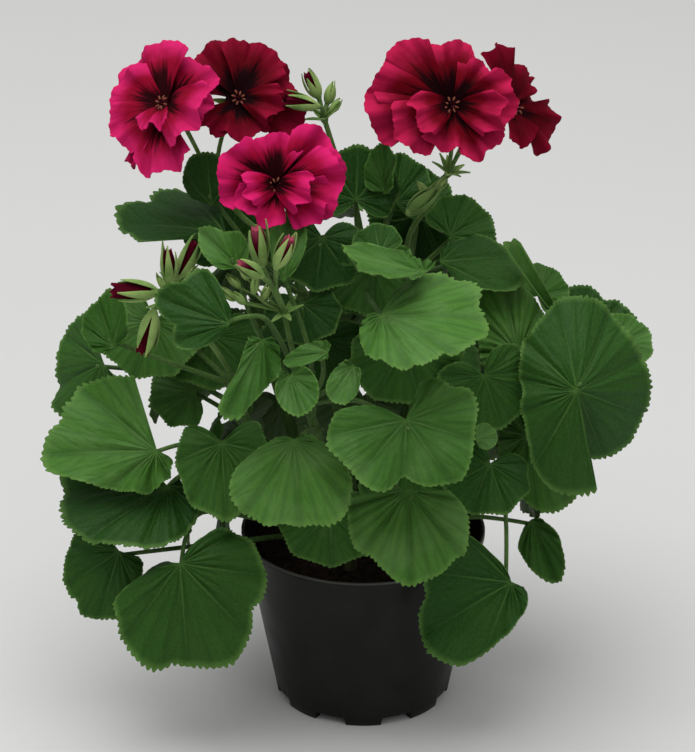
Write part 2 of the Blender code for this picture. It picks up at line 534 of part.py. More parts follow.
class LeafForm:
    """Outline and relief of a leaf with shallow lobes, teeth and sunk ribs."""
    ring = 0.55

    def __init__(self, leaf, spokes):
        self.leaf = leaf
        self.span = leaf.span
        self.spokes = spokes + spokes % 2
        self.middle = 0.0
        self.knots = []

    def fit(self, blade, edge):
        """Takes the outline from pixels of the picture, seen on the blade's plane."""
        leaf, last = self.leaf, None
        for pixel in edge:
            lift = leaf.cup
            for step in range(FIT_STEPS):
                plane = blade.joint + blade.normal * lift * blade.size
                away = (on_plane(pixel, plane, blade.normal) - plane) / blade.size
                turn = atan2(away.dot(blade.side), away.dot(blade.axis))
                if last is not None:
                    turn += 2 * pi * round((last - turn) / (2 * pi))
                lift = leaf.cup + leaf.fold * abs(away.dot(blade.side)) + leaf.twist * turn / pi
            last = turn
            self.knots.append((turn, away.length))
        if self.knots[0][0] > self.knots[-1][0]:
            self.knots.reverse()
        self.middle = (self.knots[0][0] + self.knots[-1][0]) / 2
        self.span = degrees(self.knots[-1][0] - self.middle)

    def outline(self, angle):
        """How far the blade reaches at an angle, as a share of its size."""
        leaf = self.leaf
        if not self.knots:
            reach = leaf.back + (1 - leaf.back) * (1 + cos(angle)) / 2
            return reach * (1 - LOBE_DEPTH * abs(sin(pi * angle / LOBE_ANGLE)) ** 1.5)
        for (low, near), (high, far) in zip(self.knots, self.knots[1:]):
            if angle <= high or (high, far) == self.knots[-1]:
                t = max(angle - low, 0.0) / max(high - low, SMALL_TURN)
                return near + (far - near) * min(t, 1.0)

    def __call__(self, angle, share):
        leaf = self.leaf
        tooth = 1 if round(angle / (2 * radians(self.span) / self.spokes)) % 2 else -1
        angle += self.middle
        reach = self.outline(angle)
        reach *= 1 + TOOTH_DEPTH * tooth * (share > self.ring)
        x = reach * share * cos(angle)
        y = reach * share * sin(angle) * (1 if self.knots else leaf.wide)
        lift = leaf.cup * share * share + leaf.fold * abs(y)
        lift -= PLEAT * share * cos(2 * pi * angle / LOBE_ANGLE)
        lift += EDGE_WAVE * share ** 3 * sin(4 * angle + leaf.at[0])
        lift += leaf.twist * share * angle / pi
        return x, y, lift


class PetalForm:
    """Outline and relief of a petal: a broad fan that curls out and is waved at its edge."""
    ring = 0.6

    def __init__(self, petal, phase):
        self.petal = petal
        self.span = petal.half
        self.phase = phase

    def __call__(self, angle, share):
        petal = self.petal
        half = radians(petal.half)
        off = angle / half
        reach = 1 - 0.15 * off ** 4 - 0.03 * (1 - cos(6 * off + self.phase)) * share
        x = reach * share * cos(angle)
        y = reach * share * sin(angle)
        lift = petal.curl * (share - share * share) * 2
        lift += petal.ruffle * share ** 3 * sin(7 * off + self.phase)
        return x, y, lift


def round_shell(profile):
    """A profile of (radius, height) turned round the upright axis, for testing room."""
    steps = TEST_STEPS
    points, faces = [], []
    for radius, height in profile:
        for step in range(steps):
            turn = 2 * pi * step / steps
            points.append(Vector((radius * cos(turn), radius * sin(turn), height)))
    for k in range(len(profile) - 1):
        for step in range(steps):
            a, b = k * steps + step, k * steps + (step + 1) % steps
            faces.append((a, b, b + steps, a + steps))
    return points, faces


class Thicket:
    """All that is placed so far, and whether a new shape has room beside it."""

    def __init__(self):
        self.placed = []

    def add(self, node, shape):
        self.placed.append((node, BVHTree.FromPolygons(*shape)))

    def clash(self, node, shape, own=False):
        """Whether a shape meets one of another node, or of any node where own is asked."""
        tree = BVHTree.FromPolygons(*shape)
        for other, placed in self.placed:
            if (own or other != node) and tree.overlap(placed):
                return True
        return False


def petiole_path(leaf, blade, root_height, swing, start_off):
    """The leaf stalk's middle line, from its stem up to the blade's joint."""
    root = stem_point(leaf.stem, root_height)
    away = blade.joint - root
    out = Vector((away.x, away.y, 0)).normalized()
    arrive = (blade.axis * 0.4 + blade.normal * 0.6 + away.normalized() * 0.5).normalized()
    end = blade.joint + blade.axis * JOINT_SHIFT + blade.normal * STALK_BITE
    under = end - blade.normal * STUB
    if leaf.via:
        points = [root] + [in_view(v[:2], v[2] * MM + start_off) for v in leaf.via] + [under]
        return smooth_path(points, 4) + [end]
    side = out.cross(UP) * swing
    return bend(root, out * 0.8 + UP * 0.7 + side, under, arrive - side * 0.5, 2) + [end]


def place_leaf(thicket, leaf, edge):
    """Finds where a leaf has room, by small shifts along the view and turns of its face."""
    node = "stem_" + leaf.stem
    for own in (True, False):
        for shift in SHIFTS:
            for turn, rise in TURNS:
                joint = in_view(leaf.at, (leaf.depth + shift) * MM)
                normal = facing(leaf.faces[0] + turn, leaf.faces[1] + rise)
                if len(leaf.tip) == 3:
                    axis = in_view(leaf.tip[:2], (leaf.tip[2] + shift) * MM) - joint
                else:
                    axis = on_plane(leaf.tip, joint, normal) - joint
                form = LeafForm(leaf, leaf.spokes)
                blade = Blade(joint, axis, normal, axis.length, form, leaf.spokes)
                if edge:
                    form.fit(blade, edge)
                if thicket.clash(node, blade.room(BLADE_ROOM + LEAF_THICK / 2), own):
                    continue
                path = clear_petiole(thicket, node, leaf, blade, shift * MM)
                if path:
                    return blade, path
    return None


def clear_petiole(thicket, node, leaf, blade, shift=0.0):
    """A path for the leaf stalk that meets nothing of another node."""
    tip = STEMS[leaf.stem][-1][2] * MM
    for own in (True, False):
        for drop in DROPS:
            root = min(blade.joint.z - drop * ROOT_DROP, tip - ROOT_BELOW_TIP)
            root = max(root, SOIL_TOP + ROOT_ABOVE_SOIL)
            for swing in SWINGS:
                path = petiole_path(leaf, blade, root, swing, shift)
                if thicket.clash(node, sleeve(path, PETIOLE + BLADE_ROOM)):
                    continue
                if own and thicket.clash(node, sleeve(path[1:], PETIOLE), own):
                    continue
                return path
    return None


def far_leaves():
    """The leaves of the far side, by rings, as blades to place."""
    rows = []
    for ring, (height, reach, size, count, first, step, rise, *stems) in enumerate(FAR_RINGS):
        for k in range(count):
            rows.append((ring, k, height, reach, size, first + k * step, rise, stems))
    return rows


def place_far_leaf(thicket, row):
    """Finds where a leaf of the far side has room."""
    ring, k, height, reach, size, turn, rise, stems = row
    stem = stems[0] if turn < 90 else stems[1]
    node = "stem_" + stem
    leaf = Leaf(stem, (k * 3 + ring, 0), 0, (0, 0), (0, 0), span=148, cup=-0.08,
                spokes=FAR_SPOKES)
    for shift in FAR_SHIFTS:
        for swerve in FAR_TURNS:
            way = radians(turn + swerve)
            out = Vector((cos(way), sin(way), 0))
            joint = out * ((reach + shift) * FAR_JOINT_SHARE * MM)
            joint += UP * (height * MM + FAR_JOINT_LIFT)
            normal = out * cos(radians(rise + FAR_NOD)) + UP * sin(radians(rise + FAR_NOD))
            axis = out * sin(radians(rise)) - UP * cos(radians(rise))
            axis += out.cross(UP) * FAR_SWERVE * (1 if k % 2 else -1)
            form = LeafForm(leaf, FAR_SPOKES)
            blade = Blade(joint, axis, normal, size * MM, form, FAR_SPOKES)
            if thicket.clash(node, blade.room(BLADE_ROOM + LEAF_THICK / 2), True):
                continue
            path = clear_petiole(thicket, node, leaf, blade)
            if path:
                return stem, blade, path
    return None


class Star:
    """A shallow cup whose edge runs out in points: sepals round a bud, or bracts round a stalk."""

    def __init__(self, foot, way, girdle, dip, points, turn=0.0):
        self.foot = foot
        self.way = way
        self.girdle = girdle
        self.dip = dip
        self.points = points
        self.across = Matrix.Rotation(turn, 3, way) @ way.orthogonal().normalized()

    def spot(self, share, reach, rise):
        """A point at a share of the turn, a reach from the axis and a rise along it."""
        out = Matrix.Rotation(2 * pi * share, 3, self.way) @ self.across
        return self.foot + out * reach + self.way * rise

    def sheet(self, grow=1.0):
        """The star's points and triangles; girdle, dip and points are (reach, rise)."""
        count = self.points[0]
        corners = [self.foot]
        corners += [self.spot(k / count, *self.girdle) for k in range(count)]
        corners += [self.spot(k / count, *self.points[1]) for k in range(count)]
        corners += [self.spot((k + 0.5) / count, *self.dip) for k in range(count)]
        faces = []
        for k in range(count):
            near, after = 1 + k, 1 + (k + 1) % count
            tip, tip_after, dip = near + count, after + count, near + 2 * count
            faces.append((0, near, after))
            faces.append((near, tip, dip))
            faces.append((near, dip, after))
            faces.append((after, dip, tip_after))
        return corners, faces


def umbel_point(name):
    """Where a head's stalk branches."""
    spray = SPRAYS[name]
    return in_view(spray.node, spray.depth * MM)


def bloom_frame(bloom):
    """A bloom's joint, the way it faces, and the seat of its green cup."""
    way = facing(*bloom.faces)
    joint = in_view(bloom.throat, bloom.depth * MM) - way * THROAT_SINK
    return joint, way, joint - way * (CLAW_LENGTH + GAP)


def bud_frame(bud):
    """A bud's base, its tip and the direction between them."""
    base = in_view(bud.base, bud.depth * MM)
    tip = in_view(bud.tip, (bud.depth - bud.reach) * MM)
    return base, tip, (tip - base).normalized()


def petal_blade(bloom, petal, number):
    """One petal as a blade, from the bloom's joint to where the picture shows its tip."""
    joint, way, seat = bloom_frame(bloom)
    layer = number % 2 * PETAL_LAYER
    tip = on_plane(petal.tip, joint + way * (THROAT_SINK + petal.reach * MM + layer), way)
    joint += way * (layer / 2) + (tip - joint).normalized() * PETAL_FOOT
    axis = tip - joint
    spokes = PETAL_SPOKES if petal.half > SMALL_PETAL else PETAL_SPOKES - 2
    return Blade(joint, axis, way, axis.length, PetalForm(petal, 1.7 * number), spokes)


def bloom_star(bloom):
    """The green cup under an open bloom, its sepals spread."""
    seat, way = bloom_frame(bloom)[2], bloom_frame(bloom)[1]
    girdle = (CUP_RADIUS, CUP_DEEP * 1.5)
    dip = (CUP_RADIUS * 1.3, CUP_DEEP * 1.6)
    return Star(seat - way * CUP_DEEP, way, girdle, dip, (4, (SEPAL_LONG, CUP_DEEP * 2)), SEPAL_TURN)


def bud_star(bud):
    """The sepals that clasp an opening bud, just clear of its petals."""
    base, tip, way = bud_frame(bud)
    length = (tip - base).length
    round_petals = (bud.girth * PETAL_SHARE * MM + SEPAL_THICK / 2 + GAP) / cos(pi / 4) + 0.2 * MM
    flare = round_petals + bud.open * bud.girth * 0.3 * MM
    rise = length * (1.0 - 0.15 * bud.open)
    return Star(base, way, (round_petals, length * 0.3), (round_petals * 1.15, length * 0.42),
                (4, (flare, rise)), SEPAL_TURN)


def bract_star(name):
    """The ring of small bracts where a head branches."""
    spray = SPRAYS[name]
    node = umbel_point(name)
    way = (node - Vector(STEMS[spray.stem][-1]) * MM).normalized()
    reach, rise = BRACT_LONG * sin(radians(55)), BRACT_LONG * cos(radians(55))
    return Star(node - way * 1.5 * MM, way, (PEDUNCLE * 1.2, 0.5 * MM), (PEDUNCLE * 1.7, 1.5 * MM),
                (spray.bracts, (reach, rise)), SEPAL_TURN)


def stalk_paths(name):
    """The middle lines of a head's stalks: the main one from its stem, then one to each
    bloom and bud."""
    spray = SPRAYS[name]
    below, tip = stem_path(spray.stem)[-2:]
    way = (tip - below).normalized()
    node = umbel_point(name)
    lift = (node - tip).normalized()
    rise = tip + way * (GAP + PEDUNCLE)
    main = [tip + way * GAP] + bend(rise, way, node, lift + UP * 0.5, 3)
    paths = [(main, PEDUNCLE)]
    for bloom in BLOOMS.values():
        if bloom.spray == name:
            seat, face = bloom_frame(bloom)[2], bloom_frame(bloom)[1]
            end = seat - face * (CUP_DEEP - CUP_BITE)
            start = node + (end - node).normalized() * NODE_SPREAD
            paths.append((bend(start, lift + UP, end, face * 0.6 + UP * 0.5, 2), PEDICEL))
    for bud in BUDS.values():
        if bud.spray == name:
            base, tip_end, face = bud_frame(bud)
            end = base + face * CUP_BITE
            start = node + (end - node).normalized() * NODE_SPREAD
            paths.append((bend(start, lift + UP * 0.5, end, face * 0.7 + UP * 0.2, 2), PEDICEL))
    return paths


def fill_thicket():
    """Places every stalk, bloom and leaf, each clear of the other nodes."""
    thicket = Thicket()
    outer = POT_HEIGHT + BLADE_ROOM
    wall = ((wall_radius(0), 0), (RIM_RADIUS + BLADE_ROOM, outer), (RIM_RADIUS - POT_WALL * 2, outer),
            (wall_radius(SOIL_TOP), SOIL_TOP + SOIL_ROUGH), (0, SOIL_TOP + SOIL_ROUGH))
    thicket.add("pot", round_shell(wall))
    for name in STEMS:
        thicket.add("stem_" + name, sleeve(stem_path(name), STEM_BASE))
    for name in SPRAYS:
        for path, radius in stalk_paths(name):
            thicket.add(name, sleeve(path, radius))
        thicket.add(name, bract_star(name).sheet())
    for bud in BUDS.values():
        base, tip, way = bud_frame(bud)
        thicket.add(bud.spray, sleeve([base, tip], bud.girth * MM * BUD_ROOM))
    for name, bloom in BLOOMS.items():
        thicket.add(bloom.spray, bloom_star(bloom).sheet())
        for number, petal in enumerate(bloom.petals):
            thicket.add(name, petal_blade(bloom, petal, number).room(PETAL_THICK / 2))
    leaves = {name: [] for name in STEMS}
    for name, leaf in LEAVES.items():
        found = place_leaf(thicket, leaf, EDGES.get(name, ()))
        if found is None:
            raise RuntimeError("no room for leaf " + name)
        blade, path = found
        leaves[leaf.stem].append((blade, path))
        thicket.add("stem_" + leaf.stem, blade.room(LEAF_THICK / 2))
        thicket.add("stem_" + leaf.stem, sleeve(path, PETIOLE))
    # A far leaf with no room is left out
    for row in far_leaves():
        found = place_far_leaf(thicket, row)
        if found is None:
            continue
        stem, blade, path = found
        leaves[stem].append((blade, path))
        thicket.add("stem_" + stem, blade.room(LEAF_THICK / 2))
        thicket.add("stem_" + stem, sleeve(path, PETIOLE))
    return leaves


def stem_path(name):
    """A leafy stem's middle line: upright in its socket, then leaning out."""
    points = [Vector(p) * MM for p in STEMS[name]]
    return [points[0]] + smooth_path(points[1:], 4)


def clear_scene():
    """Empties the scene of what it starts with."""
    for item in list(bpy.data.objects):
        bpy.data.objects.remove(item, do_unlink=True)


def new_collection(name):
    collection = bpy.data.collections.new(name)
    bpy.context.scene.collection.children.link(collection)
    return collection


def paint(item, color, roughness, metallic=0.0):
    """Gives an object a material of its own."""
    material = bpy.data.materials.new(item.name)
    material.use_nodes = True
    shader = material.node_tree.nodes["Principled BSDF"]
    shader.inputs["Base Color"].default_value = (*color, 1.0)
    shader.inputs["Roughness"].default_value = roughness
    shader.inputs["Metallic"].default_value = metallic
    item.data.materials.clear()
    item.data.materials.append(material)


def add_object(name, data, collection):
    item = bpy.data.objects.new(name, data)
    collection.objects.link(item)
    return item


def settle(item):
    """Turns an object's evaluated shape into a plain welded mesh of triangles."""
    evaluated = item.evaluated_get(bpy.context.evaluated_depsgraph_get())
    mesh = bpy.data.meshes.new_from_object(evaluated)
    shape = bmesh.new()
    shape.from_mesh(mesh)
    bmesh.ops.remove_doubles(shape, verts=shape.verts, dist=WELD)
    bmesh.ops.dissolve_degenerate(shape, dist=WELD, edges=shape.edges)
    loose = [vert for vert in shape.verts if not vert.link_faces]
    bmesh.ops.delete(shape, geom=loose, context="VERTS")
    bmesh.ops.triangulate(shape, faces=shape.faces)
    shape.to_mesh(mesh)
    shape.free()
    return mesh


def settled_copy(name, item, collection):
    """The object replaced by a plain mesh at the same place."""
    mesh = settle(item)
    mesh.name = name
    matrix = item.matrix_world.copy()
    bpy.data.objects.remove(item, do_unlink=True)
    plain = add_object(name, mesh, collection)
    plain.matrix_world = matrix
    return plain


def tube(name, path, radius, collection, tip=1.0, resolution=1):
    """A rod along a path, with flat ends; tip is its radius at the far end, as a share."""
    curve = bpy.data.curves.new(name, "CURVE")
    curve.dimensions = "3D"
    curve.bevel_depth = radius
    curve.bevel_resolution = resolution
    curve.use_fill_caps = True
    spline = curve.splines.new("POLY")
    spline.points.add(len(path) - 1)
    for k, (point, place) in enumerate(zip(spline.points, path)):
        point.co = (*place, 1.0)
        point.radius = 1 + (tip - 1) * k / (len(path) - 1)
    item = add_object(name, curve, collection)
    bpy.context.view_layer.update()
    return settled_copy(name, item, collection)


def blade_object(name, blade, thick, collection):
    """A blade's sheet given its thickness."""
    points, faces = blade.sheet()
    mesh = bpy.data.meshes.new(name)
    mesh.from_pydata([tuple(p) for p in points], [], faces)
    item = add_object(name, mesh, collection)
    solidify = item.modifiers.new("Thickness", "SOLIDIFY")
    solidify.thickness = thick
    solidify.offset = 0.0
    bpy.context.view_layer.update()
    return settled_copy(name, item, collection)


def egg(name, base, tip, radius, collection, belly=0.6):
    """A closed egg between two points, widest at a share of its length."""
    mesh = bpy.data.meshes.new(name)
    shape = bmesh.new()
    bmesh.ops.create_uvsphere(shape, u_segments=EGG_SIDES, v_segments=EGG_RINGS, radius=1.0)
    length = (tip - base).length
    for vert in shape.verts:
        along = max((vert.co.z + 1) / 2, 0.0)
        vert.co.x *= radius
        vert.co.y *= radius
        vert.co.z = length * along ** (0.5 / belly)
    shape.to_mesh(mesh)
    shape.free()
    item = add_object(name, mesh, collection)
    turn = Vector((0, 0, 1)).rotation_difference(tip - base)
    item.matrix_world = Matrix.Translation(base) @ turn.to_matrix().to_4x4()
    return item


def boolean(item, collection, operation):
    """Joins a collection to an object, or cuts it away, and applies it."""
    modifier = item.modifiers.new("Boolean", "BOOLEAN")
    modifier.operation = operation
    modifier.operand_type = "COLLECTION"
    modifier.collection = collection
    modifier.solver = "EXACT"
    bpy.context.view_layer.update()
    name, home = item.name, item.users_collection[0]
    item.name = name + "_raw"
    return settled_copy(name, item, home)


def drop_collection(collection):
    for item in list(collection.objects):
        bpy.data.objects.remove(item, do_unlink=True)
    bpy.data.collections.remove(collection)


def turned(name, profile, steps, collection):
    """A profile turned round the upright axis."""
    mesh = bpy.data.meshes.new(name)
    edges = [(k, k + 1) for k in range(len(profile) - 1)]
    mesh.from_pydata([(r, 0, z) for r, z in profile], edges, [])
    item = add_object(name, mesh, collection)
    screw = item.modifiers.new("Turn", "SCREW")
    screw.angle = 2 * pi
    screw.steps = steps
    screw.render_steps = steps
    screw.use_merge_vertices = True
    screw.merge_threshold = 0.00005
    bpy.context.view_layer.update()
    return item


def wall_radius(height):
    """The pot's outer radius at a height."""
    return BASE_RADIUS + (RIM_RADIUS - LIP_PROUD - BASE_RADIUS) * height / POT_HEIGHT


def make_pot(collection):
    """The tapered pot on its ring of feet and a centre foot, with drain holes in the floor."""
    lip = POT_HEIGHT - LIP_HEIGHT
    top = FLOOR_RAISE + FLOOR_THICK
    profile = (
        (0, top), (wall_radius(top) - POT_WALL, top), (wall_radius(lip) - POT_WALL, lip),
        (RIM_RADIUS - POT_WALL, POT_HEIGHT), (RIM_RADIUS, POT_HEIGHT), (RIM_RADIUS, lip),
        (wall_radius(lip), lip), (wall_radius(FLOOR_RAISE), FLOOR_RAISE), (wall_radius(0), 0),
        (wall_radius(0) - FOOT_DEEP, 0), (wall_radius(0) - FOOT_DEEP, FLOOR_RAISE),
        (CENTRE_FOOT, FLOOR_RAISE), (CENTRE_FOOT, 0), (0, 0))
    pot = turned("pot", profile, POT_STEPS, collection)
    cutters = new_collection("pot_cutters")
    for k in range(FOOT_COUNT):
        turn = 2 * pi * (k + 0.5) / FOOT_COUNT
        bpy.ops.mesh.primitive_cube_add(size=1)
        notch = bpy.context.object
        width = 2 * pi * BASE_RADIUS / FOOT_COUNT * (1 - FOOT_SHARE)
        notch.scale = (FOOT_DEEP * 4, width, 2 * (FLOOR_RAISE - NOTCH_SHY))
        notch.location = (BASE_RADIUS * cos(turn), BASE_RADIUS * sin(turn), 0)
        notch.rotation_euler = (0, 0, turn)
        hide_cutter(notch, "notch_%d" % k, cutters)
    for k in range(DRAIN_COUNT):
        turn = 2 * pi * k / DRAIN_COUNT
        bpy.ops.mesh.primitive_cylinder_add(vertices=8, radius=DRAIN_RADIUS, depth=FLOOR_RAISE * 4)
        hole = bpy.context.object
        hole.location = (DRAIN_RING * cos(turn), DRAIN_RING * sin(turn), FLOOR_RAISE)
        hide_cutter(hole, "drain_%d" % k, cutters)
    pot = boolean(pot, cutters, "DIFFERENCE")
    drop_collection(cutters)
    paint(pot, POT_BLACK, 0.42)
    return pot


def hide_cutter(item, name, collection):
    """Names a cutter and moves it to its collection, out of sight."""
    for home in list(item.users_collection):
        home.objects.unlink(item)
    collection.objects.link(item)
    item.name = name
    item.hide_render = True
    item.display_type = "WIRE"


def make_soil(collection):
    """The soil fills the pot, with a rough top and a plain socket for each stem."""
    floor = FLOOR_RAISE + FLOOR_THICK + GAP
    flats = cos(pi / POT_STEPS)
    edge = (wall_radius(SOIL_TOP) - POT_WALL) * flats - GAP
    low_edge = (wall_radius(floor) - POT_WALL) * flats - GAP
    rings = [(edge * k / SOIL_RINGS, SOIL_TOP) for k in range(SOIL_RINGS + 1)]
    profile = rings + [(low_edge, floor), (0, floor)]
    soil = settled_copy("soil", turned("soil_raw", profile, SOIL_STEPS, collection), collection)
    for vert in soil.data.vertices:
        if vert.co.z > SOIL_TOP - MM:
            ripple = sin(vert.co.x * 330 + 1) * cos(vert.co.y * 270) + sin(vert.co.y * 610)
            vert.co.z += ripple * SOIL_ROUGH / 2
    cutters = new_collection("soil_cutters")
    for name, points in STEMS.items():
        foot = Vector(points[0]) * MM
        bpy.ops.mesh.primitive_cylinder_add(vertices=6, radius=STEM_BASE + SOCKET_ROOM,
                                            depth=STEM_SEAT * 4)
        hole = bpy.context.object
        hole.location = foot + UP * (STEM_SEAT * 2 - GAP)
        hide_cutter(hole, "socket_" + name, cutters)
    soil = boolean(soil, cutters, "DIFFERENCE")
    drop_collection(cutters)
    paint(soil, SOIL_BROWN, 0.95)
    return soil


def make_stem(name, leaves, collection):
    """A leafy stem: the stem with its leaf stalks and blades as one body."""
    stem = tube("stem_" + name, stem_path(name), STEM_BASE, collection, STEM_TIP / STEM_BASE)
    extra = new_collection("leaves_" + name)
    for k, (blade, path) in enumerate(leaves):
        tube("stalk_%s_%d" % (name, k), path, PETIOLE, extra, resolution=0)
        blade_object("blade_%s_%d" % (name, k), blade, LEAF_THICK, extra)
    stem = boolean(stem, extra, "UNION")
    drop_collection(extra)
    paint(stem, LEAF_GREEN, 0.55)
    return stem


def make_spray(name, collection):
    """A head's green stalks, bracts, cups and sepals as one body."""
    paths = stalk_paths(name)
    spray = tube(name, paths[0][0], PEDUNCLE, collection, 0.85)
    extra = new_collection("extra_" + name)
    for k, (path, radius) in enumerate(paths[1:]):
        tube("pedicel_%d" % k, path, radius, extra, resolution=0)
    blade_object("bracts", bract_star(name), SEPAL_THICK, extra)
    node = umbel_point(name)
    egg("node", node - UP * NODE_RADIUS, node + UP * NODE_RADIUS, NODE_RADIUS, extra, 0.5)
    for bloom in BLOOMS.values():
        if bloom.spray == name:
            blade_object("sepals", bloom_star(bloom), SEPAL_THICK, extra)
    for bud in BUDS.values():
        if bud.spray == name:
            base, tip, way = bud_frame(bud)
            if bud.open:
                blade_object("sepals", bud_star(bud), SEPAL_THICK, extra)
            else:
                egg("bud", base - way * MM, tip, bud.girth * MM / 2, extra, 0.42)
    spray = boolean(spray, extra, "UNION")
    drop_collection(extra)
    paint(spray, BUD_GREEN, 0.6)
    return spray


def make_bud_petals(name, bud, collection):
    """The folded petals inside an opening bud."""
    base, tip, way = bud_frame(bud)
    length = (tip - base).length
    start = base + way * BUD_SEAT
    end = base + way * length * (0.92 + 0.12 * bud.open)
    petals = egg(name + "_petals", start, end, bud.girth * PETAL_SHARE * MM, collection)
    paint(petals, BUD_RED, 0.5)
    return petals


def make_bloom(name, bloom, collection):
    """An open bloom: its claw and its ruffled petals as one body."""
    joint, way, seat = bloom_frame(bloom)
    claw = egg(name, seat, joint + way * CLAW_HEAD, CLAW_RADIUS, collection)
    extra = new_collection("petals_" + name)
    for number, petal in enumerate(bloom.petals):
        blade_object("petal_%d" % number, petal_blade(bloom, petal, number), PETAL_THICK, extra)
    bloom_item = boolean(claw, extra, "UNION")
    drop_collection(extra)
    paint(bloom_item, BLOOM_PINK, 0.5)
    return bloom_item


def main():
    clear_scene()
    plant = new_collection("regal_pelargonium")
    leaves = fill_thicket()
    make_pot(plant)
    make_soil(plant)
    for name in STEMS:
        make_stem(name, leaves[name], plant)
    for name in SPRAYS:
        make_spray(name, plant)
    for name, bud in BUDS.items():
        if bud.open:
            make_bud_petals(name, bud, plant)
    for name, bloom in BLOOMS.items():
        make_bloom(name, bloom, plant)


main()
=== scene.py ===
"""A regal pelargonium in its nursery pot, dressed for the camera.

Laid out as an add-on: each operator makes one piece or a group of like pieces of the plant.
"""
import json
from collections import namedtuple
from math import atan2, cos, degrees, pi, radians, sin

import bmesh
import bpy
import numpy as np
from bpy.props import FloatProperty, FloatVectorProperty, IntProperty, PointerProperty
from mathutils import Matrix, Vector, noise

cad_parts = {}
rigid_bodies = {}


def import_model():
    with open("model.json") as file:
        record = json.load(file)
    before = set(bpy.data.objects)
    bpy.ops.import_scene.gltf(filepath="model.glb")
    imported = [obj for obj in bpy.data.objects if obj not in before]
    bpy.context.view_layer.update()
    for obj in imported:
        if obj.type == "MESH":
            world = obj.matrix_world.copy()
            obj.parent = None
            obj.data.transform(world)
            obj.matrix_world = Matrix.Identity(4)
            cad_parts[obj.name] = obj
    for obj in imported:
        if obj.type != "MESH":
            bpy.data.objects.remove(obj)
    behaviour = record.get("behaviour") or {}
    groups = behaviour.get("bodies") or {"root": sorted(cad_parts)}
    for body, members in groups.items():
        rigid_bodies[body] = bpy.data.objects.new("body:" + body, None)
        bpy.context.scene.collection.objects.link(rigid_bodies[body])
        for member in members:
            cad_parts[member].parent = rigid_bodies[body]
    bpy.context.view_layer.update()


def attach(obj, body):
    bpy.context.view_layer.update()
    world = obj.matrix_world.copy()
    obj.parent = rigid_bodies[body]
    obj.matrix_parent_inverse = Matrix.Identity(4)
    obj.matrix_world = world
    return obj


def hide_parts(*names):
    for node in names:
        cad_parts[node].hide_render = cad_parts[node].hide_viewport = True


bl_info = {
    "name": "Potted Pelargonium",
    "version": (1, 0, 0),
    "blender": (4, 5, 0),
    "location": "View3D > Sidebar > Plant",
    "description": "Builds a flowering regal pelargonium in a black nursery pot",
    "category": "Add Mesh",
}

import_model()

MM = 0.001
UP = Vector((0, 0, 1))

# The pot and its soil
RIM_RADIUS = 60 * MM
BASE_RADIUS = 43 * MM
POT_HEIGHT = 88 * MM
POT_WALL = 1.4 * MM
LIP_HEIGHT = 3.0 * MM
LIP_PROUD = 0.5 * MM
FLOOR_RAISE = 5.0 * MM
FLOOR_THICK = 1.6 * MM
FOOT_COUNT = 8
FOOT_SHARE = 0.52
FOOT_DEEP = 4.0 * MM
NOTCH_SHY = 0.4 * MM
CENTRE_FOOT = 7 * MM
NOTCH_FLAT = 0.72
NOTCH_SPOTS = (-1, -0.99, -0.96, -0.9, -0.8, -0.65, -0.35, 0, 0.35, 0.65, 0.8, 0.9, 0.96, 0.99, 1)
DRAIN_RADIUS = 3.2 * MM
DRAIN_RING = 27 * MM
DRAIN_COUNT = 5
SOIL_TOP = 77 * MM
SOIL_ROUGH = 1.6 * MM
GAP = 0.3 * MM

# Stems, stalks and blades
STEM_BASE = 3.2 * MM
STEM_TIP = 2.0 * MM
PETIOLE = 1.15 * MM
PEDUNCLE = 1.35 * MM
PEDICEL = 0.9 * MM
PETAL_LAYER = 3.0 * MM
PETAL_FOOT = 1.0 * MM
PETAL_PHASE = 1.7
THROAT_SINK = 5.0 * MM
CLAW_LENGTH = 6.0 * MM
CUP_DEEP = 1.2 * MM
CUP_RADIUS = 2.6 * MM
CUP_BITE = 0.45 * MM
BUD_SEAT = 1.7 * MM
STALK_BITE = 0.12 * MM
ROOT_DROP = 14 * MM
ROOT_BELOW_TIP = 8 * MM
ROOT_ABOVE_SOIL = 12 * MM
FAR_JOINT_SHARE = 0.72
FAR_JOINT_LIFT = 8 * MM
FAR_NOD = 12
FAR_SWERVE = 0.25
FAR_CUP = -0.08
FAR_SPAN = 148
SEPAL_TURN = 0.3
NODE_SPREAD = 1.4 * MM
NODE_RADIUS = 1.9 * MM
SEPAL_LONG = 10 * MM
BRACT_LONG = 9.0 * MM
JOINT_SHIFT = 3.0 * MM
STUB = 3.0 * MM
LOBE_ANGLE = radians(38)
LOBE_DEPTH = 0.07
FIT_STEPS = 4
SMALL_TURN = 0.001
PLEAT = 0.035
EDGE_WAVE = 0.03

# The view that the picture was taken from, and the picture's size in pixels
VIEW_DISTANCE = 1.35
VIEW_RISE = radians(23.8)
VIEW_TARGET = Vector((-0.0077, 0.0, 0.169))
VIEW_FOCAL = 2808
PICTURE = (695, 752)
SENSOR = 36.0
VIEW_BACK = Vector((0, -cos(VIEW_RISE), sin(VIEW_RISE)))
VIEW_RIGHT = Vector((1, 0, 0))
VIEW_UP = VIEW_BACK.cross(VIEW_RIGHT)
VIEW_POINT = VIEW_TARGET + VIEW_BACK * VIEW_DISTANCE

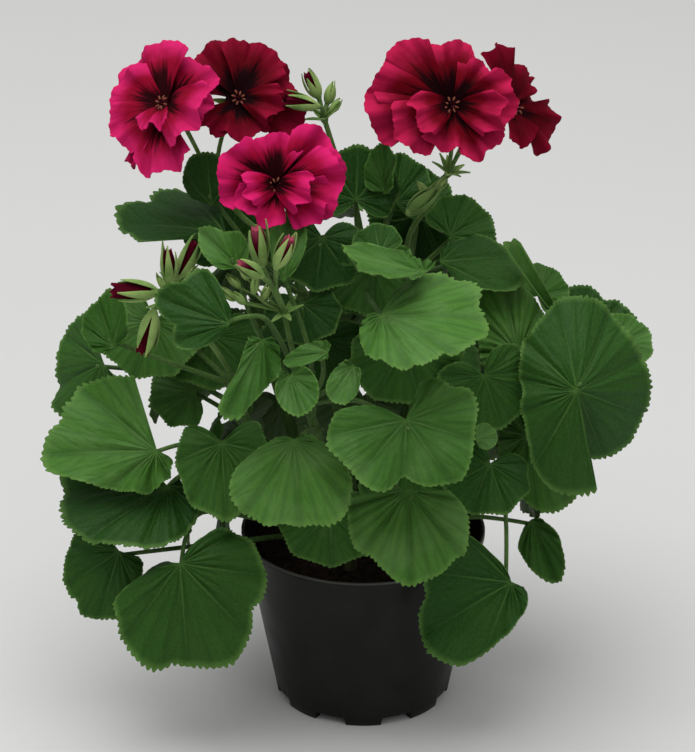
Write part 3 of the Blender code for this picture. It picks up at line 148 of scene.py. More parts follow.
# Middle lines of the leafy stems in mm, from the soil to the tip
STEMS = {
    "left": ((-24, -8, 63), (-24, -8, 82), (-40, -15, 116), (-54, -22, 150), (-64, -27, 184)),
    "front": ((-6, -24, 63), (-6, -24, 82), (-10, -33, 116), (-20, -42, 150), (-28, -48, 184)),
    "middle": ((-4, -4, 63), (-4, -4, 82), (-8, -2, 130), (-20, 4, 178), (-32, 8, 216)),
    "top": ((8, 8, 63), (8, 8, 82), (6, 12, 130), (2, 18, 180), (0, 22, 226)),
    "right": ((26, -10, 63), (26, -10, 82), (40, -17, 116), (54, -21, 148), (66, -22, 180)),
    "crown": ((20, 16, 63), (20, 16, 82), (24, 18, 130), (26, 18, 178), (20, 14, 222)),
    "rear_left": ((-18, 18, 63), (-18, 18, 82), (-34, 34, 118), (-46, 46, 156), (-54, 52, 192)),
    "rear_right": ((4, 28, 63), (4, 28, 82), (18, 44, 118), (30, 56, 156), (38, 62, 192)),
}

Leaf = namedtuple("Leaf", "stem at depth tip faces cup span back wide fold twist via swing",
                  defaults=(140, 0.5, 1.0, 0.0, 0.0, (), 0.0))

# Leaves that the picture shows: joint with the stalk and tip in pixels, depth in mm, the way
# the upper face looks (turn from the view, rise), how far it is cupped, and where no outline is
# read from the picture its spread in degrees, its reach at the back and its width. A stalk passes
# through the via points, or swings to one side
LEAVES = {
    "fan": Leaf("left", (157, 451), -52, (41, 452), (-15, 40), -0.08, fold=0.06,
                via=((200, 441, -42),)),
    "low_left": Leaf("left", (168, 487), -44, (72, 512), (-12, 66), -0.1, via=((196, 470, -38),)),
    "paddle": Leaf("left", (119, 551), -46, (100, 617), (-10, 12), -0.06, via=((187, 547, -44),)),
    "apron": Leaf("left", (180, 563), -70, (187, 670), (0, 15), -0.1, via=((203, 512, -50),)),
    "umbrella": Leaf("front", (294, 440), -84, (299, 527), (-5, 35), -0.12),
    "saddle": Leaf("front", (406, 420), -100, (404, 484), (3, 30), -0.08),
    "shell": Leaf("front", (408, 490), -86, (411, 587), (0, 25), -0.08),
    "pennant": Leaf("right", (511, 582), -58, (428, 632), (-6, 24), -0.05, fold=0.22,
                    via=((497, 470, -44),)),
    "shield": Leaf("right", (577, 391), -58, (598, 302), (14, 18), -0.1, twist=0.2),
    "plate": Leaf("top", (381, 316), -82, (488, 336), (8, 72), -0.06),
    "knife": Leaf("top", (424, 273), -60, (342, 246, -56), (-30, 85), 0.05, fold=0.1),
    "blade": Leaf("crown", (560, 330), -14, (506, 243), (60, 22), 0.02),
    "mitten": Leaf("front", (230, 324), -93, (155, 297), (-10, 30), -0.06, via=((268, 321, -77),)),
    "drop": Leaf("front", (262, 340), -88, (228, 416), (25, 22), -0.06, fold=0.1),
    "grey": Leaf("right", (519, 352), -26, (500, 273), (-14, 30), -0.08),
    "spoon": Leaf("right", (531, 520), -6, (556, 583), (-5, 15), 0.04, fold=0.1,
                  via=((472, 517, -14),)),
    "far_left": Leaf("left", (104, 364), -4, (57, 384), (-50, 25), -0.1),
    "young_left": Leaf("left", (113, 347), -44, (98, 297), (-20, 30), 0.12, fold=0.2),
    "wing_left": Leaf("middle", (226, 234), -22, (116, 214), (-30, 72), -0.08),
    "nape": Leaf("middle", (234, 246), 11, (236, 192), (4, 20), -0.05, 150, 0.6, 1.2),
    "cuff": Leaf("left", (152, 322), -14, (134, 378), (-10, 30), -0.05, 150, 0.6, 1.1),
    "cuff_right": Leaf("left", (212, 336), -8, (214, 390), (0, 34), -0.05, 150, 0.6, 1.2),
    "under_bloom": Leaf("middle", (212, 206), -10, (206, 153), (-15, 17), -0.05),
    "lime": Leaf("front", (238, 268), -67, (200, 232), (-10, 27), 0.05, fold=0.15, swing=1.0),
    "bract_leaf": Leaf("front", (284, 282), -64, (290, 213), (5, 40), 0.1, fold=0.25, swing=-1.0),
    "lip": Leaf("front", (328, 352), -78, (284, 362), (-10, 45), 0.05, fold=0.1),
    "fold_young": Leaf("front", (290, 376), -88, (298, 416), (0, 40), 0.12, fold=0.3),
    "tongue": Leaf("front", (354, 366), -82, (328, 406), (-10, 45), 0.08, fold=0.15),
    "under_umbrella": Leaf("front", (330, 512), -54, (332, 568), (-5, 20), -0.06, 150, 0.5, 1.2),
    "behind_umbrella": Leaf("left", (222, 443), -54, (226, 522), (-10, 30), -0.06, 130, 0.5, 0.8),
    "low_right": Leaf("right", (528, 436), -22, (545, 514), (8, 32), -0.08),
    "dusk": Leaf("right", (490, 464), -46, (470, 514), (-10, 30), -0.06, 150, 0.5, 1.1),
    "chip": Leaf("right", (476, 440), -66, (502, 440), (20, 40), 0.05, fold=0.1),
    "brim": Leaf("crown", (440, 262), -14, (510, 254), (10, 58), -0.08),
    "glow": Leaf("crown", (450, 236), 9, (491, 216), (15, 42), 0.04, 140, 0.5, 1.0, 0.1),
    "spark": Leaf("crown", (538, 296), 12, (556, 270), (20, 30), 0.05, 140, 0.5, 1.1, 0.1),
    "peak": Leaf("crown", (590, 340), 14, (592, 287), (20, 32), -0.08),
    "far_right": Leaf("crown", (618, 344), 6, (648, 331), (30, 45), 0.05, 120),
    "crest": Leaf("top", (356, 200), 9, (358, 144), (5, 24), 0.05, 140, 0.5, 1.0, 0.1),
    "crest_right": Leaf("top", (396, 202), 26, (402, 153), (10, 30), 0.05, 140, 0.5, 0.9, 0.1),
    "horn": Leaf("top", (384, 192), 7, (390, 141), (-41, 14), 0.1, 90, 0.4, 0.55, 0.3),
    "brow": Leaf("crown", (416, 214), 36, (424, 168), (6, 30), 0.04, 130, 0.5, 1.0, 0.1),
    "cheek": Leaf("top", (380, 254), -40, (354, 236), (10, 45), 0.05, 140, 0.6, 1.2, 0.1),
    "shade_middle": Leaf("top", (322, 238), -30, (316, 292), (10, 30), -0.05, 150, 0.5, 1.1),
    "mass": Leaf("crown", (420, 212), 44, (404, 262), (0, 8), -0.06, 150, 0.6, 1.2),
    "hollow": Leaf("front", (302, 304), -42, (306, 346), (0, 30), -0.05, 140, 0.5, 1.2),
    "shade_high": Leaf("top", (372, 266), -34, (374, 318), (0, 12), -0.05, 150, 0.6, 1.1,
                       swing=0.5),
    "shade_low": Leaf("top", (404, 346), -40, (420, 404), (0, 10), -0.05, 150, 0.6, 1.2),
    "core": Leaf("front", (318, 338), -30, (304, 396), (0, 14), -0.05, 150, 0.6, 1.2),
    "shade_right": Leaf("right", (484, 376), -43, (502, 430), (10, 12), -0.05, 150, 0.6, 1.1),
    "shade_left": Leaf("left", (196, 392), -10, (152, 372), (-20, 40), -0.1),
}

# Leaf outlines where the picture shows them, in pixels, from one side of the leaf's stalk round
# the blade to the other
EDGES = {
    "fan": ((154, 436), (153, 415), (152, 395), (149, 381), (140, 376), (125, 379), (110, 378),
            (98, 383), (86, 381), (75, 385), (73, 397), (65, 405), (63, 420), (52, 429), (44, 442),
            (40, 455), (43, 467), (56, 476), (72, 480), (92, 485), (112, 489), (130, 492),
            (148, 492), (160, 488), (169, 479), (173, 466), (168, 456)),
    "low_left": ((176, 483), (190, 488), (204, 500), (201, 511), (194, 524), (182, 535),
                 (170, 545), (150, 549), (132, 549), (112, 547), (92, 542), (76, 533), (66, 527),
                 (62, 515), (59, 504), (66, 492), (58, 478), (80, 468), (110, 466), (140, 470),
                 (158, 480)),
    "paddle": ((139, 556), (141, 578), (140, 600), (130, 616), (119, 619), (108, 618), (101, 620),
               (90, 618), (80, 616), (78, 600), (70, 597), (64, 582), (65, 566), (70, 547),
               (76, 532), (95, 530), (110, 540)),
    "apron": ((170, 562), (155, 567), (141, 578), (124, 587), (113, 602), (119, 620), (119, 634),
              (127, 648), (138, 658), (150, 669), (163, 669), (174, 663), (186, 668), (203, 668),
              (220, 667), (236, 661), (246, 645), (252, 628), (252, 606), (262, 599), (267, 583),
              (262, 562), (251, 539), (234, 535), (224, 526), (210, 530), (196, 541), (186, 552)),
    "umbrella": ((285, 436), (268, 444), (250, 454), (238, 466), (231, 480), (231, 498),
                 (240, 511), (257, 520), (268, 528), (281, 523), (300, 526), (316, 524),
                 (330, 527), (345, 518), (350, 500), (353, 483), (346, 466), (334, 450),
                 (318, 440), (304, 434)),
    "saddle": ((390, 411), (372, 406), (352, 407), (336, 411), (328, 430), (327, 448), (338, 458),
               (350, 470), (362, 484), (377, 493), (392, 489), (399, 479), (404, 475), (413, 482),
               (428, 487), (445, 484), (462, 481), (469, 466), (473, 448), (475, 425), (478, 406),
               (473, 391), (462, 385), (454, 390), (444, 381), (431, 377), (417, 386), (412, 402)),
    "shell": ((396, 491), (378, 492), (358, 485), (351, 495), (348, 510), (349, 530), (355, 549),
              (372, 557), (384, 570), (397, 582), (410, 587), (424, 581), (442, 573), (455, 558),
              (465, 555), (468, 538), (468, 515), (458, 499), (446, 489), (432, 486), (419, 490)),
    "plate": ((372, 316), (362, 328), (360, 341), (364, 350), (371, 357), (388, 363), (398, 368),
              (408, 367), (417, 370), (432, 366), (441, 359), (443, 354), (458, 353), (470, 348),
              (482, 341), (489, 330), (487, 316), (477, 307), (482, 296), (476, 288), (460, 281),
              (446, 277), (434, 275), (424, 279), (406, 287), (392, 296), (385, 306)),
    "mitten": ((231, 312), (226, 298), (218, 281), (209, 270), (200, 268), (191, 273), (184, 283),
               (170, 283), (155, 292), (154, 303), (161, 315), (176, 325), (173, 337), (173, 344),
               (182, 350), (195, 350), (211, 345), (222, 335)),
    "drop": ((252, 336), (244, 350), (238, 366), (235, 377), (226, 387), (220, 398), (219, 411),
             (227, 420), (240, 419), (250, 405), (262, 391), (272, 382), (280, 362), (278, 347),
             (270, 337)),
    "shield": ((597, 489), (592, 495), (578, 494), (562, 494), (548, 488), (538, 472), (529, 446),
               (524, 420), (519, 403), (523, 388), (520, 365), (520, 349), (530, 332), (545, 312),
               (556, 300), (578, 296), (600, 300), (616, 320), (633, 341), (644, 362), (651, 384),
               (647, 410), (638, 428), (628, 444), (612, 455), (597, 459), (584, 456), (572, 448)),
    "grey": ((540, 372), (550, 352), (549, 330), (540, 308), (526, 288), (511, 276), (496, 273),
             (485, 280), (478, 300), (477, 322), (480, 345), (483, 364), (493, 380), (507, 385),
             (514, 372)),
    "low_right": ((540, 410), (522, 402), (506, 415), (499, 440), (501, 465), (509, 480),
                  (519, 494), (531, 507), (545, 514), (560, 511), (575, 499), (583, 480),
                  (578, 455), (560, 430)),
    "pennant": ((508, 572), (494, 556), (481, 543), (466, 533), (446, 530), (430, 540),
                (422, 560), (424, 585), (427, 596), (420, 610), (420, 632), (426, 650),
                (442, 661), (461, 667), (478, 658), (500, 640), (518, 620), (528, 598),
                (523, 587)),
    "spoon": ((536, 518), (547, 523), (557, 533), (562, 548), (565, 568), (561, 582), (553, 584),
              (542, 578), (533, 570), (523, 558), (518, 546), (521, 535), (526, 525)),
    "wing_left": ((215, 190), (196, 190), (180, 188), (172, 185), (160, 189), (152, 195),
                  (149, 204), (132, 205), (115, 208), (118, 224), (128, 237), (143, 250),
                  (160, 249), (180, 244), (200, 245), (220, 250)),
    "under_bloom": ((192, 198), (183, 178), (187, 163), (192, 155), (204, 152), (217, 154),
                    (228, 165), (232, 185)),
    "young_left": ((122, 345), (128, 325), (126, 308), (118, 292), (108, 288), (98, 299),
                   (88, 311), (81, 328), (87, 342), (96, 352), (106, 352)),
    "far_left": ((96, 330), (88, 312), (75, 322), (65, 330), (63, 345), (60, 365), (57, 380),
                 (57, 391), (51, 403), (62, 417), (80, 425), (100, 420), (115, 400), (118, 378)),
    "peak": ((562, 340), (553, 318), (553, 300), (560, 292), (570, 287), (591, 286), (601, 296),
             (605, 301), (618, 300), (628, 311), (637, 320), (631, 331), (618, 345)),
    "brim": ((440, 250), (448, 245), (460, 240), (475, 236), (490, 240), (504, 249), (517, 261),
             (527, 277), (515, 290), (495, 290), (470, 288), (450, 276)),
    "bract_leaf": ((277, 272), (271, 252), (269, 235), (274, 222), (282, 216), (290, 212),
                   (299, 219), (307, 236), (305, 250), (297, 266), (289, 276)),
    "lime": ((224, 270), (210, 262), (200, 248), (198, 228), (209, 226), (224, 232), (240, 232),
             (248, 245), (246, 262)),
    "knife": ((434, 268), (420, 261), (398, 256), (380, 250), (362, 244), (342, 243), (346, 252),
              (357, 264), (371, 276), (387, 281), (404, 281), (420, 278)),
    "fold_young": ((284, 371), (278, 380), (276, 395), (284, 410), (296, 417), (309, 413),
                   (318, 400), (318, 384), (309, 370), (298, 366)),
    "tongue": ((349, 361), (338, 366), (329, 378), (326, 392), (333, 403), (345, 405), (355, 396),
               (360, 380), (359, 368)),
    "lip": ((331, 345), (318, 342), (304, 345), (294, 351), (282, 361), (289, 369), (304, 366),
            (317, 360), (328, 357)),
    "blade": ((557, 326), (544, 306), (532, 290), (522, 272), (513, 256), (505, 243), (514, 240),
              (527, 248), (536, 262), (537, 281), (547, 300), (561, 318)),
    "chip": ((480, 448), (490, 449), (498, 440), (494, 429), (484, 423), (475, 427)),
}

Spray = namedtuple("Spray", "stem node depth bracts")
Bloom = namedtuple("Bloom", "spray throat depth faces petals")
Petal = namedtuple("Petal", "tip reach half curl ruffle", defaults=(0.22, 0.08))
Bud = namedtuple("Bud", "spray base depth tip reach girth open", defaults=(0.0,))

# Where each head of flowers branches, in pixels and mm of depth
SPRAYS = {
    "head_left": Spray("middle", (214, 184), 6, 4),
    "head_right": Spray("crown", (449, 172), 4, 5),
    "buds_top": Spray("top", (324, 118), 16, 3),
    "buds_middle": Spray("front", (284, 312), -62, 4),
    "buds_left": Spray("left", (168, 304), -56, 3),
}

# Open blooms: the throat, the way it faces, and each petal's tip, how far it reaches towards
# the viewer, and half its spread in degrees
BLOOMS = {
    "bloom_left": Bloom("head_left", (165, 104), -10, (-30, 35), (
        Petal((112, 92), 2, 46), Petal((150, 46), -8, 46), Petal((204, 62), -10, 44),
        Petal((212, 104), -2, 36), Petal((112, 138), 6, 38), Petal((162, 176), 2, 28),
        Petal((129, 167), -2, 10), Petal((198, 120), 13, 34, 0.3), Petal((148, 128), 13, 26, 0.3))),
    "bloom_back": Bloom("head_left", (238, 98), 8, (10, 32), (
        Petal((216, 40), -6, 36), Petal((262, 43), -8, 42), Petal((296, 84), -8, 38),
        Petal((304, 122), 0, 30), Petal((250, 139), 6, 42), Petal((206, 131), 0, 26),
        Petal((204, 76), -10, 30), Petal((282, 106), 12, 28, 0.3))),
    "bloom_front": Bloom("head_left", (276, 184), -44, (2, 24), (
        Petal((217, 166), 4, 46), Petal((270, 132), -6, 48), Petal((336, 143), -4, 40),
        Petal((345, 180), 2, 40), Petal((326, 213), 6, 36), Petal((250, 219), 8, 44),
        Petal((244, 192), 15, 26, 0.35), Petal((310, 196), 14, 28, 0.35))),
    "bloom_right": Bloom("head_right", (452, 104), -10, (-4, 22), (
        Petal((364, 104), 0, 36), Petal((384, 56), -6, 36), Petal((442, 40), -8, 36),
        Petal((486, 64), -8, 34), Petal((518, 98), 4, 34), Petal((492, 153), 4, 28),
        Petal((436, 149), 8, 40), Petal((396, 138), 6, 34), Petal((504, 118), 15, 24, 0.3),
        Petal((414, 118), 14, 30, 0.3))),
    "bloom_side": Bloom("head_right", (509, 106), 22, (46, 18), (
        Petal((496, 43), 0, 26), Petal((524, 66), -6, 36), Petal((534, 98), -8, 36),
        Petal((555, 134), -2, 32), Petal((528, 146), 6, 32))),
}

# Buds: base, tip, how far the tip reaches towards the viewer, girth in mm, and how far it
# has opened, which shows its petals
BUDS = {
    "bud_top_side": Bud("buds_top", (318, 106), 5, (284, 100), 8, 6.5, 1.0),
    "bud_top_up": Bud("buds_top", (319, 98), 18, (306, 72), 2, 6.5, 0.5),
    "bud_top_small": Bud("buds_top", (327, 104), 20, (333, 84), 0, 5.0),
    "bud_middle_up": Bud("buds_middle", (262, 266), -72, (256, 226), 4, 8.0, 0.6),
    "bud_middle_low": Bud("buds_middle", (262, 276), -80, (238, 262), 6, 6.5, 0.6),
    "bud_middle_right": Bud("buds_middle", (276, 268), -78, (291, 236), 2, 7.0, 0.6),
    "bud_left_open": Bud("buds_left", (158, 292), -66, (112, 290), 4, 8.0, 1.0),
    "bud_left_up": Bud("buds_left", (170, 286), -60, (168, 248), 2, 7.0, 0.5),
    "bud_left_right": Bud("buds_left", (177, 280), -56, (197, 240), 0, 7.0, 0.5),
    "bud_left_down": Bud("buds_left", (154, 310), -64, (142, 354), 4, 8.0, 0.8),
    "bud_right_young": Bud("head_right", (408, 214), -2, (436, 188), 4, 8.0),
    "bud_right_back": Bud("head_right", (462, 148), 6, (470, 132), 0, 4.5),
}

# Leaves of the far side and the top: stem, height, reach and size in mm, the turn in degrees from
# the plant's right side, how far they face up, where the edge's wave begins, and the side that
# the tip leans to
FAR_LEAVES = (
    ("rear_right", 118, 104, 44, 12, 18, 0, -1),
    ("rear_right", 118, 108, 44, 59, 18, 3, 1),
    ("rear_right", 118, 100, 44, 90, 18, 6, -1),
    ("rear_left", 118, 108, 44, 121, 18, 9, 1),
    ("rear_left", 118, 100, 44, 152, 18, 12, -1),
    ("rear_left", 118, 108, 44, 183, 18, 15, 1),
    ("rear_right", 160, 116, 46, 16, 30, 1, -1),
    ("rear_right", 160, 108, 46, 55, 30, 4, 1),
    ("rear_right", 160, 116, 46, 88, 30, 7, -1),
    ("rear_left", 160, 128, 46, 115, 30, 10, 1),
    ("rear_left", 160, 116, 46, 138, 30, 13, -1),
    ("rear_left", 160, 124, 46, 155, 30, 16, 1),
    ("rear_right", 204, 100, 42, 50, 42, 2, -1),
    ("rear_right", 204, 88, 42, 84, 42, 5, 1),
    ("rear_left", 204, 96, 42, 124, 42, 8, -1),
    ("rear_left", 204, 104, 42, 147, 42, 11, 1),
    ("rear_left", 228, 78, 38, 116, 62, 6, 1),
    ("middle", 206, 44, 36, 99, 76, 10, -1),
    ("left", 108, 92, 38, 180, 12, 8, -1),
    ("right", 112, 62, 34, -62, 22, 9, -1),
    ("right", 136, 56, 34, -64, 34, 10, -1),
    ("top", 186, 38, 34, -25, 72, 12, -1),
    ("middle", 186, 38, 34, 94, 72, 18, -1),
)


def in_view(pixel, depth):
    """The point that the picture shows at a pixel, at a depth in metres behind the origin."""
    ray = -VIEW_BACK + VIEW_RIGHT * ((pixel[0] - PICTURE[0] / 2) / VIEW_FOCAL)
    ray += VIEW_UP * ((PICTURE[1] / 2 - pixel[1]) / VIEW_FOCAL)
    return VIEW_POINT + ray * ((depth - VIEW_POINT.y) / ray.y)


def on_plane(pixel, point, normal):
    """The point that the picture shows at a pixel, on a plane through a point."""
    ray = in_view(pixel, 0.0) - VIEW_POINT
    return VIEW_POINT + ray * ((point - VIEW_POINT).dot(normal) / ray.dot(normal))


def facing(turn, rise):
    """The direction that a turn from the view and a rise, in degrees, give."""
    turn, rise = radians(turn), radians(rise)
    return Vector((sin(turn) * cos(rise), -cos(turn) * cos(rise), sin(rise)))


def smooth_path(points, count):
    """Points at even steps along a smooth curve through the given ones."""
    ends = [points[0] * 2 - points[1]] + list(points) + [points[-1] * 2 - points[-2]]
    path = []
    for step in range(count + 1):
        place = step / count * (len(points) - 1)
        k = min(int(place), len(points) - 2)
        t = place - k
        a, b, c, d = ends[k:k + 4]
        path.append(0.5 * (2 * b + (c - a) * t + (2 * a - 5 * b + 4 * c - d) * t * t
                           + (3 * b - a - 3 * c + d) * t ** 3))
    return path


def bend(start, start_way, end, end_way, count):
    """Points along a curve that leaves and arrives in the given directions."""
    reach = (end - start).length / 3
    b = start + start_way.normalized() * reach
    c = end - end_way.normalized() * reach
    path = []
    for step in range(count + 1):
        t = step / count
        s = 1 - t
        path.append(start * s ** 3 + b * 3 * s * s * t + c * 3 * s * t * t + end * t ** 3)
    return path


def stem_point(stem, height):
    """Where a stem's middle line passes a height."""
    points = [Vector(p) * MM for p in STEMS[stem]]
    for low, high in zip(points, points[1:]):
        if height <= high.z:
            return low.lerp(high, (height - low.z) / (high.z - low.z))
    return points[-1]


class Blade:
    """A leaf's or a petal's own frame: its joint, the way its middle line and its face look,
    its length and its outline."""

    def __init__(self, joint, axis, normal, size, form=None):
        self.joint = joint
        self.axis = axis.normalized()
        self.normal = (normal - self.axis * normal.dot(self.axis)).normalized()
        self.side = self.normal.cross(self.axis)
        self.size = size
        self.form = form


class LeafForm:
    """Outline of a leaf, with shallow lobes or as the picture shows it."""

    def __init__(self, leaf):
        self.leaf = leaf
        self.span = leaf.span
        self.middle = 0.0
        self.knots = []

    def fit(self, blade, edge):
        """Takes the outline from pixels of the picture, seen on the blade's plane."""
        leaf, last = self.leaf, None
        for pixel in edge:
            lift = leaf.cup
            for step in range(FIT_STEPS):
                plane = blade.joint + blade.normal * lift * blade.size
                away = (on_plane(pixel, plane, blade.normal) - plane) / blade.size
                turn = atan2(away.dot(blade.side), away.dot(blade.axis))
                if last is not None:
                    turn += 2 * pi * round((last - turn) / (2 * pi))
                lift = leaf.cup + leaf.fold * abs(away.dot(blade.side)) + leaf.twist * turn / pi
            last = turn
            self.knots.append((turn, away.length))
        if self.knots[0][0] > self.knots[-1][0]:
            self.knots.reverse()
        self.middle = (self.knots[0][0] + self.knots[-1][0]) / 2
        self.span = degrees(self.knots[-1][0] - self.middle)

    def outline(self, angle):
        """How far the blade reaches at an angle, as a share of its size."""
        leaf = self.leaf
        if not self.knots:
            reach = leaf.back + (1 - leaf.back) * (1 + cos(angle)) / 2
            return reach * (1 - LOBE_DEPTH * abs(sin(pi * angle / LOBE_ANGLE)) ** 1.5)
        for (low, near), (high, far) in zip(self.knots, self.knots[1:]):
            if angle <= high or (high, far) == self.knots[-1]:
                t = max(angle - low, 0.0) / max(high - low, SMALL_TURN)
                return near + (far - near) * min(t, 1.0)


def petiole_path(leaf, blade):
    """The leaf stalk's middle line, from its stem up to the blade's joint."""
    height = min(blade.joint.z - ROOT_DROP, STEMS[leaf.stem][-1][2] * MM - ROOT_BELOW_TIP)
    root = stem_point(leaf.stem, max(height, SOIL_TOP + ROOT_ABOVE_SOIL))
    away = blade.joint - root
    out = Vector((away.x, away.y, 0)).normalized()
    arrive = (blade.axis * 0.4 + blade.normal * 0.6 + away.normalized() * 0.5).normalized()
    end = blade.joint + blade.axis * JOINT_SHIFT + blade.normal * STALK_BITE
    under = end - blade.normal * STUB
    if leaf.via:
        points = [root] + [in_view(v[:2], v[2] * MM) for v in leaf.via] + [under]
        return smooth_path(points, 4) + [end]
    side = out.cross(UP) * leaf.swing
    return bend(root, out * 0.8 + UP * 0.7 + side, under, arrive - side * 0.5, 2) + [end]


def aside(way, turn):
    """A direction square to a way, at a turn round it."""
    return Matrix.Rotation(turn, 3, way) @ way.orthogonal().normalized()


def umbel_point(name):
    """Where a head's stalk branches."""
    spray = SPRAYS[name]
    return in_view(spray.node, spray.depth * MM)


def bloom_frame(bloom):
    """A bloom's joint, the way it faces, and the seat of its green cup."""
    way = facing(*bloom.faces)
    joint = in_view(bloom.throat, bloom.depth * MM) - way * THROAT_SINK
    return joint, way, joint - way * (CLAW_LENGTH + GAP)


def bud_frame(bud):
    """A bud's base, its tip and the direction between them."""
    base = in_view(bud.base, bud.depth * MM)
    tip = in_view(bud.tip, (bud.depth - bud.reach) * MM)
    return base, tip, (tip - base).normalized()


def leaf_blade(leaf, edge):
    """A leaf's blade where the picture shows it."""
    joint = in_view(leaf.at, leaf.depth * MM)
    normal = facing(*leaf.faces)
    if len(leaf.tip) == 3:
        axis = in_view(leaf.tip[:2], leaf.tip[2] * MM) - joint
    else:
        axis = on_plane(leaf.tip, joint, normal) - joint
    blade = Blade(joint, axis, normal, axis.length, LeafForm(leaf))
    if edge:
        blade.form.fit(blade, edge)
    return blade


def far_leaf(stem, height, reach, size, turn, rise, wave, lean):
    """A leaf of the far side and its blade."""
    leaf = Leaf(stem, (wave, 0), 0, (0, 0), (0, 0), FAR_CUP, FAR_SPAN)
    out = Vector((cos(radians(turn)), sin(radians(turn)), 0))
    joint = out * (reach * FAR_JOINT_SHARE * MM)
    joint += UP * (height * MM + FAR_JOINT_LIFT)
    normal = out * cos(radians(rise + FAR_NOD)) + UP * sin(radians(rise + FAR_NOD))
    axis = out * sin(radians(rise)) - UP * cos(radians(rise))
    axis += out.cross(UP) * FAR_SWERVE * lean
    return leaf, Blade(joint, axis, normal, size * MM, LeafForm(leaf))


def grown_leaves():
    """The leaves of each stem: their blades, their stalks' paths, their names and sides."""
    leaves = {name: [] for name in STEMS}
    for name, leaf in LEAVES.items():
        blade = leaf_blade(leaf, EDGES.get(name, ()))
        leaves[leaf.stem].append((blade, petiole_path(leaf, blade), name, False))
    for row in FAR_LEAVES:
        leaf, blade = far_leaf(*row)
        leaves[leaf.stem].append((blade, petiole_path(leaf, blade), "", True))
    return leaves


def petal_blade(bloom, petal, number):
    """One petal's frame, from the bloom's joint to where the picture shows its tip."""
    joint, way, seat = bloom_frame(bloom)
    layer = number % 2 * PETAL_LAYER
    tip = on_plane(petal.tip, joint + way * (THROAT_SINK + petal.reach * MM + layer), way)
    joint += way * (layer / 2) + (tip - joint).normalized() * PETAL_FOOT
    return Blade(joint, tip - joint, way, (tip - joint).length)


def stalk_paths(name):
    """The middle lines of a head's stalks: the main one from its stem, then one to each
    bloom and bud."""
    spray = SPRAYS[name]
    below, tip = stem_path(spray.stem)[-2:]
    way = (tip - below).normalized()
    node = umbel_point(name)
    lift = (node - tip).normalized()
    rise = tip + way * (GAP + PEDUNCLE)
    main = [tip + way * GAP] + bend(rise, way, node, lift + UP * 0.5, 3)
    paths = [(main, PEDUNCLE)]
    for bloom in BLOOMS.values():
        if bloom.spray == name:
            seat, face = bloom_frame(bloom)[2], bloom_frame(bloom)[1]
            end = seat - face * (CUP_DEEP - CUP_BITE)
            start = node + (end - node).normalized() * NODE_SPREAD
            paths.append((bend(start, lift + UP, end, face * 0.6 + UP * 0.5, 2), PEDICEL))
    for bud in BUDS.values():
        if bud.spray == name:
            base, tip_end, face = bud_frame(bud)
            end = base + face * CUP_BITE
            start = node + (end - node).normalized() * NODE_SPREAD
            paths.append((bend(start, lift + UP * 0.5, end, face * 0.7 + UP * 0.2, 2), PEDICEL))
    return paths


def stem_path(name):
    """A leafy stem's middle line: upright in its socket, then leaning out."""
    points = [Vector(p) * MM for p in STEMS[name]]
    return [points[0]] + smooth_path(points[1:], 4)


# The finer forms that dress the solids
TOOTH_ANGLE = radians(3.3)
TOOTH_TALL = 0.013
TOOTH_LIFT = 0.006
TOOTH_RANGE = (0.25, 1.75)
FAR_TOOTH = 1.5
FULL_LEAF = 50 * MM
EDGE_FINE = 4
FINE_PLEAT = 0.012
BASAL_ROUND = radians(24)
LEAF_SKIN = 0.5 * MM
PETAL_SKIN = 0.4 * MM
SEPAL_SKIN = 0.5 * MM
STEM_SIDES = 14
CUP_SIDES = 12
NODE_SWELL = 0.7 * MM
NODE_LONG = 3.5 * MM
STIPULE_SIZE = (5.0 * MM, 3.0 * MM)
LANCE_WIDE = 3.2 * MM
SEPAL_COUNT = 5
STAMEN_COUNT = 8
ROLL_RIDGES = 5
PETAL_COLUMNS = 56
# Rings of points on a blade, as shares of the way out
LEAF_ROWS = (0.05, 0.13, 0.22, 0.31, 0.4, 0.49, 0.58, 0.67, 0.75, 0.83, 0.9, 0.955)
FAR_ROWS = (0.07, 0.2, 0.34, 0.48, 0.62, 0.75, 0.87, 0.95)
PETAL_ROWS = (0.03, 0.08, 0.14, 0.21, 0.29, 0.37, 0.45, 0.53, 0.61, 0.68, 0.75, 0.81, 0.87, 0.92,
              0.96, 1.0)
# Waves of a leaf's edge: how steeply each grows outwards, its depth and its beats round the leaf
LEAF_WAVES = ((4, 0.016, 9), (5, 0.012, 16), (9, 0.012, 29))
# Folds of a petal: each one's depth, how steeply it grows outwards and its beats across the petal
PETAL_FOLDS = ((1.0, 3, 7), (0.4, 4, 12), (0.16, 7, 23), (0.07, 10, 41))

# Finishes: leaves nearer the axis than the inner shade reach are painted darker, as painted shade
# in the thick of the plant, and side ribs stand apart by the gap in mm
INNER_SHADE_REACH = 85 * MM
RIB_START = 60.5
SIDE_RIB_GAP = 9.5
NET_SCALE = 420.0
BLOTCH_SOFT = 0.14
DOWN_COLOR = (0.42, 0.5, 0.28)
PETAL_BACK = (0.3, 0.035, 0.09)
BUD_THROAT = (0.05, 0.002, 0.008)


